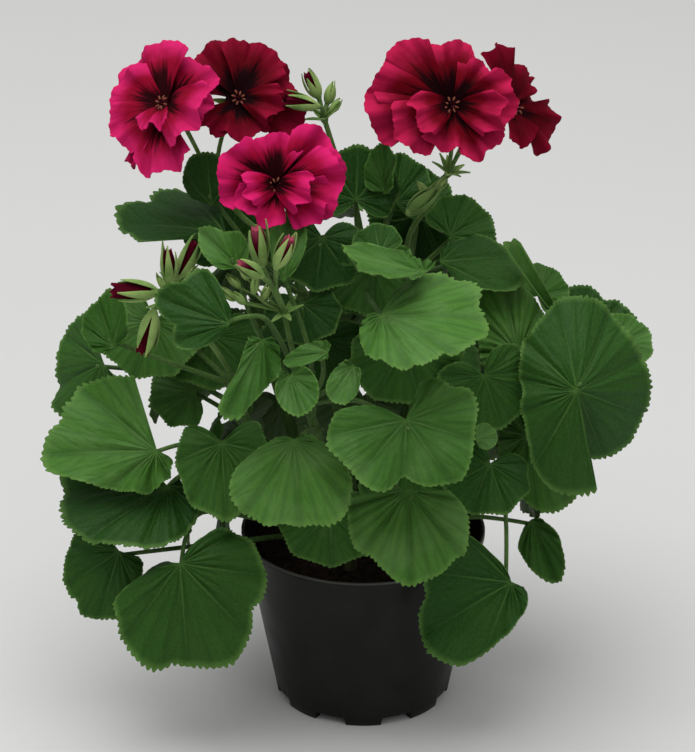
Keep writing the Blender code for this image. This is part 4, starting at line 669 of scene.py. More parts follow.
class Skin:
    """Gathers the points, faces and marks of one piece, and makes its mesh at the end."""

    def __init__(self):
        self.points, self.marks, self.tints = [], [], []
        self.corners, self.sizes, self.slots = [], [], []
        self.count = 0

    def add(self, points, faces, marks=(0.0, 0.0, 0.0), tint=0.0):
        """Adds a shape: its points, and pairs of a face array and the material slot it takes."""
        points = np.asarray(points, dtype=float)
        self.points.append(points)
        self.marks.append(np.broadcast_to(np.asarray(marks, dtype=float), points.shape))
        self.tints.append(np.broadcast_to(np.asarray(tint, dtype=float), len(points)))
        for group, slot in faces:
            group = np.asarray(group)
            self.corners.append(group.ravel() + self.count)
            self.sizes.append(np.full(len(group), group.shape[1]))
            self.slots.append(np.full(len(group), slot))
        self.count += len(points)

    def piece(self, name, finishes, sharp=48):
        """The gathered shapes as one object, with its finishes."""
        mesh = bpy.data.meshes.new(name)
        corners = np.concatenate(self.corners)
        sizes = np.concatenate(self.sizes)
        mesh.vertices.add(self.count)
        mesh.vertices.foreach_set("co", np.concatenate(self.points).ravel())
        mesh.loops.add(len(corners))
        mesh.loops.foreach_set("vertex_index", corners.astype(np.int32))
        mesh.polygons.add(len(sizes))
        starts = np.concatenate(([0], np.cumsum(sizes)[:-1]))
        mesh.polygons.foreach_set("loop_start", starts.astype(np.int32))
        mesh.polygons.foreach_set("material_index", np.concatenate(self.slots).astype(np.int32))
        mesh.polygons.foreach_set("use_smooth", np.ones(len(sizes), dtype=bool))
        mesh.update(calc_edges=True)
        marks = mesh.attributes.new("marks", "FLOAT_VECTOR", "POINT")
        marks.data.foreach_set("vector", np.concatenate(self.marks).ravel())
        tint = mesh.attributes.new("tint", "FLOAT", "POINT")
        tint.data.foreach_set("value", np.concatenate(self.tints))
        mesh.validate()
        mesh.set_sharp_from_angle(angle=radians(sharp))
        for finish in finishes:
            mesh.materials.append(finish)
        item = bpy.data.objects.new(name, mesh)
        bpy.context.scene.collection.objects.link(item)
        return item


def unit(rows):
    """Rows of vectors at length one."""
    length = np.linalg.norm(rows, axis=-1, keepdims=True)
    return rows / np.maximum(length, 1e-12)


def grid_faces(rows, columns, first=0):
    """Four-cornered faces of a grid of points, row after row."""
    r, c = np.meshgrid(np.arange(rows - 1), np.arange(columns - 1), indexing="ij")
    a = (first + r * columns + c).ravel()
    return np.stack([a, a + columns, a + columns + 1, a + 1], axis=1)


def thicken(skin, middle, normals, faces, rim, thick, marks, tint, slots=(0, 1)):
    """Adds a sheet made thick: its upper side, its under side and the rim between them."""
    count = len(middle)
    half = normals * (thick / 2)
    points = np.concatenate([middle + half, middle - half])
    under = [group[:, ::-1] + count for group in faces]
    rim = np.asarray(rim)
    after = np.roll(rim, -1)
    band = np.stack([rim, rim + count, after + count, after], axis=1)
    pairs = [(group, slots[0]) for group in faces] + [(group, slots[1]) for group in under]
    skin.add(points, pairs + [(band, slots[0])], np.concatenate([marks, marks]),
             np.broadcast_to(tint, 2 * count))


def add_plate(skin, grid, thick, marks, tint=0.0, slots=(0, 1)):
    """Adds a grid of points, rows by columns, as a thin closed plate."""
    rows, columns = grid.shape[:2]
    normals = unit(np.cross(np.gradient(grid, axis=0), np.gradient(grid, axis=1)))
    spots = np.arange(rows * columns).reshape(rows, columns)
    rim = np.concatenate([spots[:-1, 0], spots[-1, :-1], spots[:0:-1, -1], spots[0, :0:-1]])
    thicken(skin, grid.reshape(-1, 3), normals.reshape(-1, 3), [grid_faces(rows, columns)], rim,
            thick, marks.reshape(-1, 3), tint, slots)


def laid_out(blade, x, y, lift):
    """Points of a blade from its own flat coordinates and lift."""
    parts = [np.asarray(part)[..., None] for part in (x, y, lift)]
    flat = parts[0] * np.array(blade.axis) + parts[1] * np.array(blade.side)
    return np.array(blade.joint) + (flat + parts[2] * np.array(blade.normal)) * blade.size


def leaf_reach(form, half):
    """A leaf's outline as evenly set angles and how far the blade reaches at each."""
    spots = np.linspace(-half, half, 241)
    reach = np.array([form.outline(spot + form.middle) for spot in spots])
    if form.knots:
        window = np.hanning(11)
        padded = np.pad(reach, 5, mode="edge")
        return spots, np.convolve(padded, window / window.sum(), "valid")
    ends = np.clip((np.abs(spots) - half + BASAL_ROUND) / BASAL_ROUND, 0, 1)
    return spots, reach * np.sqrt(1 - 0.9 * ends ** 2)


def leaf_shape(form, steps, dice):
    """The form of a leaf: lobes, teeth, pleats between its ribs and a crisped edge."""
    leaf, half = form.leaf, radians(form.span)
    teeth = dice.uniform(*TOOTH_RANGE, steps + 1)
    turns = dice.uniform(0, 2 * pi, 6)
    spots, reaches = leaf_reach(form, half)
    wide = 1.0 if form.knots else leaf.wide

    def shape(angle, share):
        rim = share > 0.99
        turned = angle + form.middle
        lobe = np.abs(np.sin(pi * turned / LOBE_ANGLE))
        reach = np.interp(angle, spots, reaches)
        place = (angle + half) / (2 * half) * steps
        saw = 1 - np.abs(2 * (place % 1) - 1) ** 1.5
        tooth = teeth[np.clip(place.astype(int), 0, steps)]
        reach = reach * (1 + rim * TOOTH_TALL * (2 * saw - 1) * tooth)
        x = reach * share * np.cos(turned)
        y = reach * share * np.sin(turned) * wide
        lift = leaf.cup * share * share + leaf.fold * np.abs(y)
        lift = lift - PLEAT * share * (1 - 2 * lobe ** 0.8)
        pleats = np.cos(6 * pi * turned / LOBE_ANGLE + turns[5])
        lift = lift + FINE_PLEAT * np.sin(pi * share) * pleats
        lift = lift + EDGE_WAVE * share ** 3 * np.sin(4 * turned + leaf.at[0])
        lift = lift + leaf.twist * share * turned / pi
        for turn, (steep, deep, beats) in zip(turns[1:], LEAF_WAVES):
            lift = lift + share ** steep * deep * np.sin(beats * turned + turn)
        lift = lift + rim * TOOTH_LIFT * np.sin(pi * place + turns[4])
        return x, y, lift

    return shape


def add_leaf(skin, blade, dice, tint, far=False):
    """Adds a leaf as a fan of rings round its joint, whose last ring carries the teeth."""
    form = blade.form
    half = radians(form.span)
    size = blade.size / FULL_LEAF
    tooth = TOOTH_ANGLE / min(max(size, 0.35), 1.0) ** 0.6
    if far:
        tooth *= FAR_TOOTH
    steps = int(2 * half / tooth)
    rows = FAR_ROWS if far else LEAF_ROWS
    shape = leaf_shape(form, steps, dice)
    angle, share = np.meshgrid(np.linspace(-half, half, steps + 1), np.array(rows))
    edge_angle = np.linspace(-half, half, steps * EDGE_FINE + 1)
    edge_share = np.ones_like(edge_angle)
    inner_flat, edge_flat = shape(angle, share), shape(edge_angle, edge_share)
    inner, edge = laid_out(blade, *inner_flat), laid_out(blade, *edge_flat)
    normals = unit(np.cross(np.gradient(inner, axis=0), np.gradient(inner, axis=1)))
    last = normals[-1]
    at = np.arange(steps * EDGE_FINE + 1) / EDGE_FINE
    low = np.minimum(at.astype(int), steps - 1)
    blend = (at - low)[:, None]
    edge_normals = unit(last[low] * (1 - blend) + last[low + 1] * blend)
    middle = np.concatenate([[np.array(blade.joint)], inner.reshape(-1, 3), edge])
    every = np.concatenate([[np.array(blade.normal)], normals.reshape(-1, 3), edge_normals])

    # A fan at the joint, rings outwards, and five triangles from each step to its four teeth points
    count, columns = len(rows), steps + 1
    spokes = np.arange(steps)
    out = 1 + (count - 1) * columns + spokes
    rim = 1 + count * columns + spokes * EDGE_FINE
    corners = [(out, rim, rim + 1), (out, rim + 1, rim + 2), (out, rim + 2, out + 1),
               (out + 1, rim + 2, rim + 3), (out + 1, rim + 3, rim + 4)]
    faces = [np.stack([spokes * 0, 1 + spokes, 2 + spokes], axis=1), grid_faces(count, columns, 1)]
    faces += [np.stack(corner, axis=1) for corner in corners]
    first = 1 + np.arange(count) * columns
    edge_spots = 1 + count * columns + np.arange(len(edge))
    border = np.concatenate([[0], first, edge_spots, (first + steps)[::-1]])

    def marked(a, s, flat):
        away = np.hypot(flat[0], flat[1]) * blade.size / MM
        return np.stack([(a + form.middle) / LOBE_ANGLE, s, away], axis=-1).reshape(-1, 3)

    marks = np.concatenate([[(0, 0, 0)], marked(angle, share, inner_flat),
                            marked(edge_angle, edge_share, edge_flat)])
    thicken(skin, middle, every, faces, border, LEAF_SKIN, marks, tint)


def even_path(path, count):
    """A path of vectors smoothed to more points."""
    return np.array([tuple(p) for p in smooth_path(path, count)])


def tube_faces(rows, sides):
    """The walls and the two ends of a tube whose points go ring after ring."""
    k, side = np.meshgrid(np.arange(rows - 1), np.arange(sides), indexing="ij")
    a, b = (k * sides + side).ravel(), (k * sides + (side + 1) % sides).ravel()
    ring = np.arange(sides)[None]
    return np.stack([a, b, b + sides, a + sides], axis=1), ring[:, ::-1], ring + (rows - 1) * sides


def add_rod(skin, path, radii, sides=10, slot=0, tint=0.0, marks=None):
    """Adds a round rod along a path, with a closed end on either side."""
    path = np.asarray(path, dtype=float)
    count = len(path)
    radii = np.broadcast_to(np.asarray(radii, dtype=float), count)
    ways = unit(np.gradient(path, axis=0))
    across = np.array(Vector(ways[0]).orthogonal().normalized())
    turns = np.arange(sides) * 2 * pi / sides
    rings = []
    for place, way, radius in zip(path, ways, radii):
        across = unit(across - way * across.dot(way))
        other = np.cross(way, across)
        ring = np.cos(turns)[:, None] * across + np.sin(turns)[:, None] * other
        rings.append(place + ring * radius)
    along = np.repeat(np.linspace(0, 1, count), sides)
    given = np.stack([np.tile(turns, count), along, along * 0], axis=1) if marks is None else marks
    faces = [(group, slot) for group in tube_faces(count, sides)]
    skin.add(np.concatenate(rings), faces, given, tint)


def add_lance(skin, base, way, face, length, width, curl=0.2, slot=0, tint=0.0, keel=0.15):
    """Adds a small pointed leaf, such as a bract or sepal: it curls towards or from its face."""
    way = np.array(way.normalized())
    face = np.array(face)
    face = unit(face - way * face.dot(way))
    side = np.cross(face, way)
    u, v = np.meshgrid(np.linspace(0, 1, 9), np.linspace(-1, 1, 5), indexing="ij")
    wide = width / 2 * np.sin(pi * np.clip(0.12 + 0.88 * u, 0, 1)) ** 0.75 * (1.15 - 0.55 * u)
    wide = np.maximum(wide, 0.06 * width)
    lift = curl * length * u * u + keel * width * v * v
    grid = np.array(base) + u[..., None] * length * way + (v * wide)[..., None] * side
    grid = grid + lift[..., None] * face
    add_plate(skin, grid, SEPAL_SKIN, np.stack([v, u, u * 0], axis=-1), tint, (slot, slot))


def egg_radius(u, girth):
    """The outline of a bud along its length."""
    return girth / 2 * np.sin(pi * np.clip(u, 0, 1) ** 0.8) ** 0.75


def spun_round(base, way, turn, reach, rise):
    """Points round an axis, by arrays of their turn, reach and rise."""
    across = np.array(way.orthogonal().normalized())
    way = np.array(way)
    other = np.cross(way, across)
    spot = np.cos(turn)[..., None] * across + np.sin(turn)[..., None] * other
    return np.array(base) + spot * reach[..., None] + rise[..., None] * way


def add_clasp(skin, base, way, length, girth, parted, dice, slot=0):
    """Adds the five sepals that clasp a bud, whose long points part as the bud opens."""
    first = dice.uniform(0, 2 * pi)
    u, v = np.meshgrid(np.linspace(0.02, 1, 16), np.linspace(-1, 1, 7), indexing="ij")
    for k in range(SEPAL_COUNT):
        turn = first + 2 * pi * k / SEPAL_COUNT + dice.uniform(-0.2, 0.2)
        long = dice.uniform(0.92, 1.2)
        away = dice.uniform(0.3, 1.6) * parted
        swerve = dice.uniform(-0.35, 0.35)
        belly = np.maximum(egg_radius(u * 0.93, girth), 0.3 * MM)
        reach = belly + away * girth * 0.5 * u ** 2 + 0.25 * MM * (k % 2)
        wide = belly * (0.8 - 0.2 * parted) * np.maximum(1 - u ** 1.35, 0.02) ** 0.85
        round_turn = turn + v * wide / belly + swerve * u * u
        reach = reach - 0.14 * belly * v * v * u
        grid = spun_round(base, way, round_turn, reach, u * length * long)
        marks = np.stack([v, u, u * 0 + 1], axis=-1)
        add_plate(skin, grid, SEPAL_SKIN, marks, dice.uniform(0, 1), (slot, slot))


def add_roll(skin, base, way, length, girth, dice, opened=0.0, slot=0):
    """Adds petals rolled up in a bud: an egg with ridges that wind round it."""
    rows, sides = 18, 30
    u, turn = np.meshgrid(np.linspace(0.01, 1, rows), np.arange(sides) * 2 * pi / sides,
                          indexing="ij")
    reach = np.maximum(egg_radius(u * (1 - 0.2 * opened), girth), 0.35 * MM)
    wind = ROLL_RIDGES * turn + 4.0 * u + dice.uniform(0, 6)
    reach = reach * (1 + 0.17 * np.sin(wind) * u + 0.05 * np.sin(2.7 * wind + 1) * u)
    reach = reach + opened * girth * 0.16 * u ** 5 * (1 + 0.35 * np.sin(wind * 2))
    ragged = np.sin(wind) + 0.6 * np.sin(2.3 * wind + 2)
    rise = length * u * (1 + 0.06 * opened * ragged * u)
    # The last ring goes back into the roll, so an open bud ends in a hollow
    reach[-1] *= 1 - 0.5 * opened
    rise[-1] -= 0.16 * length * opened
    points = spun_round(base, way, turn, reach, rise)
    faces = [(group, slot) for group in tube_faces(rows, sides)]
    marks = np.stack([np.sin(wind), u, u * 0 + 1], axis=-1).reshape(-1, 3)
    skin.add(points.reshape(-1, 3), faces, marks, dice.uniform(0, 1))


def petal_shape(petal, phase, dice):
    """The form of a petal: a broad fan that curls out, with deep folds and a frilled edge."""
    half = radians(petal.half)
    turns = dice.uniform(0, 2 * pi, 6)
    folds = petal.ruffle * dice.uniform(0.8, 1.3, 4)
    starts = (phase, *turns[2:5])

    def shape(angle, share):
        off = angle / half
        reach = 1 - 0.15 * off ** 4 - 0.03 * (1 - np.cos(6 * off + phase)) * share
        frill = 0.009 * np.sin(19 * off + turns[0]) + 0.006 * np.sin(43 * off + turns[1])
        reach = reach + share ** 6 * frill
        x = reach * share * np.cos(angle)
        y = reach * share * np.sin(angle)
        lift = petal.curl * (share - share * share) * 2
        for fold, start, (deep, steep, beats) in zip(folds, starts, PETAL_FOLDS):
            lift = lift + deep * fold * share ** steep * np.sin(beats * off + start)
        lift = lift + 0.05 * off ** 2 * share ** 2
        lift = lift - 0.02 * np.cos(pi * off) * share * (1 - share)
        return x, y, lift

    return shape


def add_petal(skin, blade, petal, phase, dice, tint, slots=(0, 1)):
    """Adds one petal of an open bloom."""
    half = radians(petal.half)
    columns = max(14, int(PETAL_COLUMNS * min(1.0, petal.half / 34)))
    angle, share = np.meshgrid(np.linspace(-half, half, columns + 1), np.array(PETAL_ROWS))
    grid = laid_out(blade, *petal_shape(petal, phase, dice)(angle, share))
    marks = np.stack([angle / half, share, share * 0 + blade.size / MM], axis=-1)
    add_plate(skin, grid, PETAL_SKIN, marks, tint, slots)


class Wire:
    """A node's output to reckon with: each sum, difference, product or step adds a node."""

    def __init__(self, finish, socket):
        self.finish = finish
        self.socket = socket

    def __add__(self, other):
        return self.finish.math("ADD", self, other)

    def __sub__(self, other):
        return self.finish.math("SUBTRACT", self, other)

    def __rsub__(self, other):
        return self.finish.math("SUBTRACT", other, self)

    def __mul__(self, other):
        return self.finish.math("MULTIPLY", self, other)

    def __truediv__(self, other):
        return self.finish.math("DIVIDE", self, other)

    def fraction(self):
        return self.finish.math("FRACT", self)

    def size(self):
        """The value without its sign."""
        return self.finish.math("ABSOLUTE", self)

    def larger(self, other):
        return self.finish.math("MAXIMUM", self, other)

    def above(self, level):
        """One where the value is above a level, and nought elsewhere."""
        return self.finish.math("GREATER_THAN", self, level)

    def step(self, low, high, bottom=0.0, top=1.0):
        """A smooth step of the value between two levels."""
        ends = {"From Min": low, "From Max": high, "To Min": bottom, "To Max": top}
        return self.finish.node("ShaderNodeMapRange", {"Value": self, **ends}, "Result",
                                interpolation_type="SMOOTHSTEP")


class Finish:
    """A material in the making: short calls add its nodes and join them as they come."""

    def __init__(self, name, roughness=0.5, specular=0.5, sheen=0.0):
        self.material = bpy.data.materials.new(name)
        self.material.use_nodes = True
        self.tree = self.material.node_tree
        self.shader = self.tree.nodes["Principled BSDF"]
        self.shader.inputs["Roughness"].default_value = roughness
        self.shader.inputs["Specular IOR Level"].default_value = specular
        self.shader.inputs["Sheen Weight"].default_value = sheen

    def put(self, value, socket):
        """A colour, a number or another node's output, into a socket."""
        if isinstance(value, Wire):
            self.tree.links.new(value.socket, socket)
        elif socket.type == "RGBA":
            socket.default_value = (*value, 1.0)
        else:
            socket.default_value = value

    def node(self, kind, inputs, output=0, **settings):
        node = self.tree.nodes.new(kind)
        for key, value in settings.items():
            setattr(node, key, value)
        for key, value in inputs.items():
            self.put(value, node.inputs[key])
        return Wire(self, node.outputs[output])

    def math(self, operation, *values):
        return self.node("ShaderNodeMath", dict(enumerate(values)), operation=operation)

    def parts(self, vector):
        """The three parts of a vector."""
        node = self.tree.nodes.new("ShaderNodeSeparateXYZ")
        self.put(vector, node.inputs[0])
        return [Wire(self, socket) for socket in node.outputs]

    def marks(self):
        """The three marks of the mesh: across, along, and a length in mm."""
        return self.parts(self.node("ShaderNodeAttribute", {}, "Vector", attribute_name="marks"))

    def tint(self):
        return self.node("ShaderNodeAttribute", {}, "Fac", attribute_name="tint")

    def here(self):
        return self.node("ShaderNodeTexCoord", {}, "Object")

    def join(self, x, y, z=0.0):
        return self.node("ShaderNodeCombineXYZ", {0: x, 1: y, 2: z})

    def noise(self, vector, scale, detail=3.0, roughness=0.55):
        return self.node("ShaderNodeTexNoise", {"Vector": vector, "Scale": scale, "Detail": detail,
                                                "Roughness": roughness}, "Fac")

    def cells(self, vector, scale):
        return self.node("ShaderNodeTexVoronoi", {"Vector": vector, "Scale": scale}, "Distance",
                         feature="DISTANCE_TO_EDGE")

    def mix(self, share, a, b):
        return self.node("ShaderNodeMix", {0: share, 6: a, 7: b}, 2, data_type="RGBA")

    def color(self, value):
        self.put(value, self.shader.inputs["Base Color"])

    def rough(self, value):
        self.put(value, self.shader.inputs["Roughness"])

    def bump(self, height, distance, strength=1.0):
        normal = self.node("ShaderNodeBump", {"Height": height, "Distance": distance,
                                              "Strength": strength}, "Normal")
        self.put(normal, self.shader.inputs["Normal"])


def rib_pattern(finish):
    """The ribs of a leaf: main ones, forks near the edge, side ribs and the net, from 0 to 1."""
    lobes, along, away = finish.marks()
    wobble = finish.noise(finish.here(), 90.0, 2.0)

    def ray(parts):
        """Distance in mm from the nearest of the ribs that part the leaf evenly, and its side."""
        turn = (lobes * parts + RIB_START).fraction() - 0.5
        return turn.size() * away * (LOBE_ANGLE / parts), turn.above(0.0)

    gap, side = ray(1.0)
    width = along.step(0.0, 1.0, 0.75, 0.22)
    main = 1.0 - (gap / width).step(0.3, 1.0)
    valley = 1.0 - gap.step(0.2, 3.4)
    fork = (ray(3.0)[0] + wobble * 0.9).step(2.2, 0.5) * along.step(0.2, 0.6)
    rise = away - gap * 1.9 + wobble * 9.0
    beat = rise / SIDE_RIB_GAP + side * 0.5
    off = (beat.fraction() - 0.5).size()
    branch = off.step(0.45, 0.49)
    low = (fork * 0.75).larger(off.step(0.25, 0.5) * 0.45)
    net = 1.0 - finish.cells(finish.here(), NET_SCALE).step(0.02, 0.16)
    return main, valley.larger(low), branch, net, along


def leaf_finish(name, settings, under=False):
    """Leaf green: ribs, a pale margin, quilted relief, soft uneven colour, painted shade and a painted
    sheen.
    """
    finish = Finish(name, 0.58, 0.14)
    main, valley, branch, net, along = rib_pattern(finish)
    here, tint = finish.here(), finish.tint()
    patch = finish.noise(here, 28.0, 4.0)
    shade = patch * 0.35 + tint * 0.8
    deep, mid, pale = settings.deep, settings.upper, settings.margin
    if under:
        deep, mid = settings.under_deep, settings.under
    # Painted shade: the leaf's tint, partly its age and partly painted shade, moves the colour from the
    # deep green to the mid green
    color = finish.mix(shade.step(0.05, 1.0), deep, mid)
    # Painted shade: the ribs' valleys and the hollows between side ribs are painted darker
    color = finish.mix(valley * 0.5, color, deep)
    # Painted sheen: paler patches on the lighter leaves stand in for the soft highlight on their down
    painted_sheen = finish.noise(here, 55.0, 3.0) * shade.step(0.1, 0.8)
    color = finish.mix(painted_sheen.step(0.35, 0.7, 0.0, 0.4), color, settings.painted_sheen)
    margin = (along + patch * 0.1).step(0.97, 1.06)
    color = finish.mix(margin * 0.55, color, pale)
    ribs = main.larger(branch * 0.4)
    fade = along.step(1.0, 0.25, 0.12, 0.5 if under else 0.25)
    color = finish.mix(ribs * fade, color, pale)
    finish.color(finish.mix(net * 0.05, color, pale))
    grain = finish.noise(here, 900.0, 2.0)
    height = valley * -0.7 + net * -0.08 + ribs * (0.8 if under else 0.15) + grain * 0.12
    finish.bump(height, 0.9 * MM, 0.7)
    finish.rough(grain.step(0.2, 0.8, 0.5, 0.66))
    return finish.material


def stalk_finish(name, pale, deep, woody=None):
    """Stalk green with fine down, streaks along the stalk, and bark low on old stems."""
    finish = Finish(name, 0.65, 0.15, 0.06)
    along, old = finish.marks()[1:]
    here = finish.here()
    patch = finish.noise(here, 70.0, 3.0)
    fine = finish.noise(here, 1500.0, 2.0)
    color = finish.mix(patch.step(0.3, 0.72), deep, pale)
    color = finish.mix(fine.step(0.52, 0.7, 0.0, 0.2), color, DOWN_COLOR)
    if woody is not None:
        color = finish.mix(along.step(0.45, 0.02) * (patch + old).step(0.9, 1.3), color, woody)
    finish.color(color)
    finish.bump(fine + patch * 0.6, 0.25 * MM, 0.6)
    return finish.material


def petal_finish(name, colors, blotch, under=False):
    """Petal velvet: a bright margin, a deep middle, and a dark blotch that feathers out."""
    finish = Finish(name, 0.75, 0.03)
    across, along = finish.marks()[:2]
    tint = finish.tint()
    margin, middle, throat = colors

    def streaks(wide, long, shift, detail, roughness=0.55):
        """Noise drawn out along the petal, and another one on each petal."""
        spot = finish.join(across * wide, along * long, tint * shift)
        return finish.noise(spot, 1.0, detail, roughness)

    feather = streaks(9.0, 0.9, 37.0, 4.0, 0.62)
    cloud = streaks(1.6, 2.6, 11.0, 3.0)
    veins = streaks(15.0, 0.7, 91.0, 2.0)
    reach = along + (feather - 0.5) * 0.9 + across * across * 0.22
    edge = along + (cloud - 0.5) * 0.5
    color = finish.mix(edge.step(0.6, 1.06), middle, margin)
    vein = veins.step(0.52, 0.66) * along.step(1.0, 0.35)
    color = finish.mix(vein * 0.4, color, throat)
    color = finish.mix(reach.step(blotch + BLOTCH_SOFT, blotch - BLOTCH_SOFT), color, throat)
    if under:
        color = finish.mix(0.4, color, PETAL_BACK)
    finish.color(color)
    finish.bump(veins + feather * 0.6, 0.5 * MM, 0.45)
    finish.rough(veins.step(0.3, 0.7, 0.75, 0.62))
    return finish.material


def dress(item, slot, *nodes):
    """Lets a piece move with the plant and stand for its solids, which it hides."""
    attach(item, "root")
    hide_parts(*nodes)


def wall_radius(height):
    """The pot's outer radius at a height."""
    return BASE_RADIUS + (RIM_RADIUS - LIP_PROUD - BASE_RADIUS) * height / POT_HEIGHT


def new_object(name, shape, collection=None):
    """An object with a bmesh's shape, put in the scene or in a collection."""
    mesh = bpy.data.meshes.new(name)
    shape.to_mesh(mesh)
    shape.free()
    item = bpy.data.objects.new(name, mesh)
    (collection or bpy.context.scene.collection).objects.link(item)
    return item


def notch_turns():
    """Turns round the pot, and how high its lower edge is lifted there."""
    half = pi * (1 - FOOT_SHARE) / FOOT_COUNT
    turns, lifts = [], []
    for k in range(FOOT_COUNT):
        middle = 2 * pi * (k + 0.5) / FOOT_COUNT
        for t in NOTCH_SPOTS:
            corner = max(abs(t) - NOTCH_FLAT, 0) / (1 - NOTCH_FLAT)
            turns.append(middle + t * half)
            lifts.append((FLOOR_RAISE - NOTCH_SHY) * (1 - corner ** 2.4) ** 0.5)
        for t in range(1, 12):
            turns.append(middle + half + (2 * pi / FOOT_COUNT - 2 * half) * t / 12)
            lifts.append(0.0)
    return turns, lifts


def pot_shape(settings):
    """The pot's wall, rolled lip, floor and ring of feet, turned in one closed skin."""
    lip, top, wall = POT_HEIGHT - LIP_HEIGHT, FLOOR_RAISE + FLOOR_THICK, POT_WALL
    soft = settings.lip_softness
    foot, inner_foot, chamfer = wall_radius(0), wall_radius(0) - FOOT_DEEP, 0.6 * MM
    profile = [(0, top), (10 * MM, top), (wall_radius(top) - wall - MM, top),
               (wall_radius(top) - wall, top + MM)]
    for k in range(1, 9):
        height = top + MM + (lip - top - MM) * k / 8
        profile.append((wall_radius(height) - wall, height))
    for k in range(4):
        turn = k * pi / 6
        profile.append((RIM_RADIUS - wall + soft * (1 - cos(turn)), POT_HEIGHT - soft * (1 - sin(turn))))
    for k in range(4):
        turn = k * pi / 6
        profile.append((RIM_RADIUS - soft * (1 - sin(turn)), POT_HEIGHT - soft * (1 - cos(turn))))
    profile += [(RIM_RADIUS, lip + soft * 0.6), (RIM_RADIUS - 0.15 * MM, lip), (wall_radius(lip), lip)]
    for k in range(1, 12):
        height = lip + (FLOOR_RAISE - lip) * k / 12
        profile.append((wall_radius(height), height))
    feet = len(profile)
    profile += [(wall_radius(FLOOR_RAISE - NOTCH_SHY), FLOOR_RAISE - NOTCH_SHY),
                (wall_radius(chamfer), chamfer), (foot - 0.4 * MM, 0), (inner_foot + 0.4 * MM, 0),
                (inner_foot, chamfer), (inner_foot, FLOOR_RAISE - NOTCH_SHY)]
    after = len(profile)
    profile += [(inner_foot, FLOOR_RAISE), (CENTRE_FOOT, FLOOR_RAISE), (CENTRE_FOOT, 0), (0, 0)]
    shape = bmesh.new()
    rings = []
    for turn, lift in zip(*notch_turns()):
        ring = []
        for k, (reach, height) in enumerate(profile):
            if feet <= k < after:
                height = max(height, lift)
            ring.append(shape.verts.new((reach * cos(turn), reach * sin(turn), height)))
        rings.append(ring)
    for low, high in zip(rings, rings[1:] + rings[:1]):
        for k in range(len(profile) - 1):
            shape.faces.new((low[k], low[k + 1], high[k + 1], high[k]))
    bmesh.ops.remove_doubles(shape, verts=shape.verts, dist=0.00001)
    bmesh.ops.dissolve_degenerate(shape, dist=0.00001, edges=shape.edges)
    bmesh.ops.recalc_face_normals(shape, faces=shape.faces)
    return shape


def cut_drains(pot):
    """Cuts the drain holes through the pot's floor."""
    cutters = bpy.data.collections.new("drain_cutters")
    bpy.context.scene.collection.children.link(cutters)
    for k in range(DRAIN_COUNT):
        turn = 2 * pi * k / DRAIN_COUNT
        place = (DRAIN_RING * cos(turn), DRAIN_RING * sin(turn), FLOOR_RAISE)
        shape = bmesh.new()
        bmesh.ops.create_cone(shape, cap_ends=True, segments=28, radius1=DRAIN_RADIUS,
                              radius2=DRAIN_RADIUS, depth=FLOOR_RAISE * 2,
                              matrix=Matrix.Translation(place))
        new_object("drain", shape, cutters)
    cut = pot.modifiers.new("Drains", "BOOLEAN")
    cut.operand_type = "COLLECTION"
    cut.collection = cutters
    cut.solver = "EXACT"
    bpy.context.view_layer.update()
    graph = bpy.context.evaluated_depsgraph_get()
    cleaned = bpy.data.meshes.new_from_object(pot.evaluated_get(graph))
    pot.modifiers.clear()
    pot.data = cleaned
    for item in list(cutters.objects):
        bpy.data.objects.remove(item, do_unlink=True)
    bpy.data.collections.remove(cutters)


def plastic_finish(settings):
    """Black moulded plastic: a soft gloss, faint mottling, specks of dried soil and a painted highlight
    on the rim's upper edge.
    """
    finish = Finish("pot_plastic", 0.45, 0.14)
    here = finish.here()
    mottle = finish.noise(here, 55.0, 5.0)
    grit = finish.noise(here, 900.0, 3.0)
    color = finish.mix(mottle.step(0.35, 0.75), settings.plastic, settings.plastic_worn)
    color = finish.mix(grit.step(0.66, 0.74) * mottle.step(0.48, 0.7), color, settings.dust)
    # Painted highlight: the rim's upper edge is painted a paler grey for the light it catches
    lip = finish.parts(here)[2].step(POT_HEIGHT - 1.2 * MM, POT_HEIGHT - 0.3 * MM)
    finish.color(finish.mix(lip * 0.8, color, settings.lip))
    finish.rough(mottle.step(0.3, 0.75, 0.34, 0.52))
    finish.bump(mottle * 0.8 + grit * 0.25, 0.12 * MM, 0.5)
    return finish.material


def soil_finish(settings):
    """Dark peat, darker where its bump is low, with browner fibres and paler dry crumbs."""
    finish = Finish("peat", 0.95, 0.05)
    here, tint = finish.here(), finish.tint()
    clod = finish.noise(here, 240.0, 6.0, 0.7)
    fine = finish.noise(here, 1400.0, 4.0, 0.7)
    # The soil is darker where the clods' bump is low
    color = finish.mix(clod.step(0.35, 0.7), settings.peat_hollows, settings.peat)
    finish.color(finish.mix(fine.step(0.55, 0.75) * (tint + 0.3), color, settings.peat_dry))
    finish.bump(clod + fine * 0.5, 0.8 * MM, 0.9)
    return finish.material


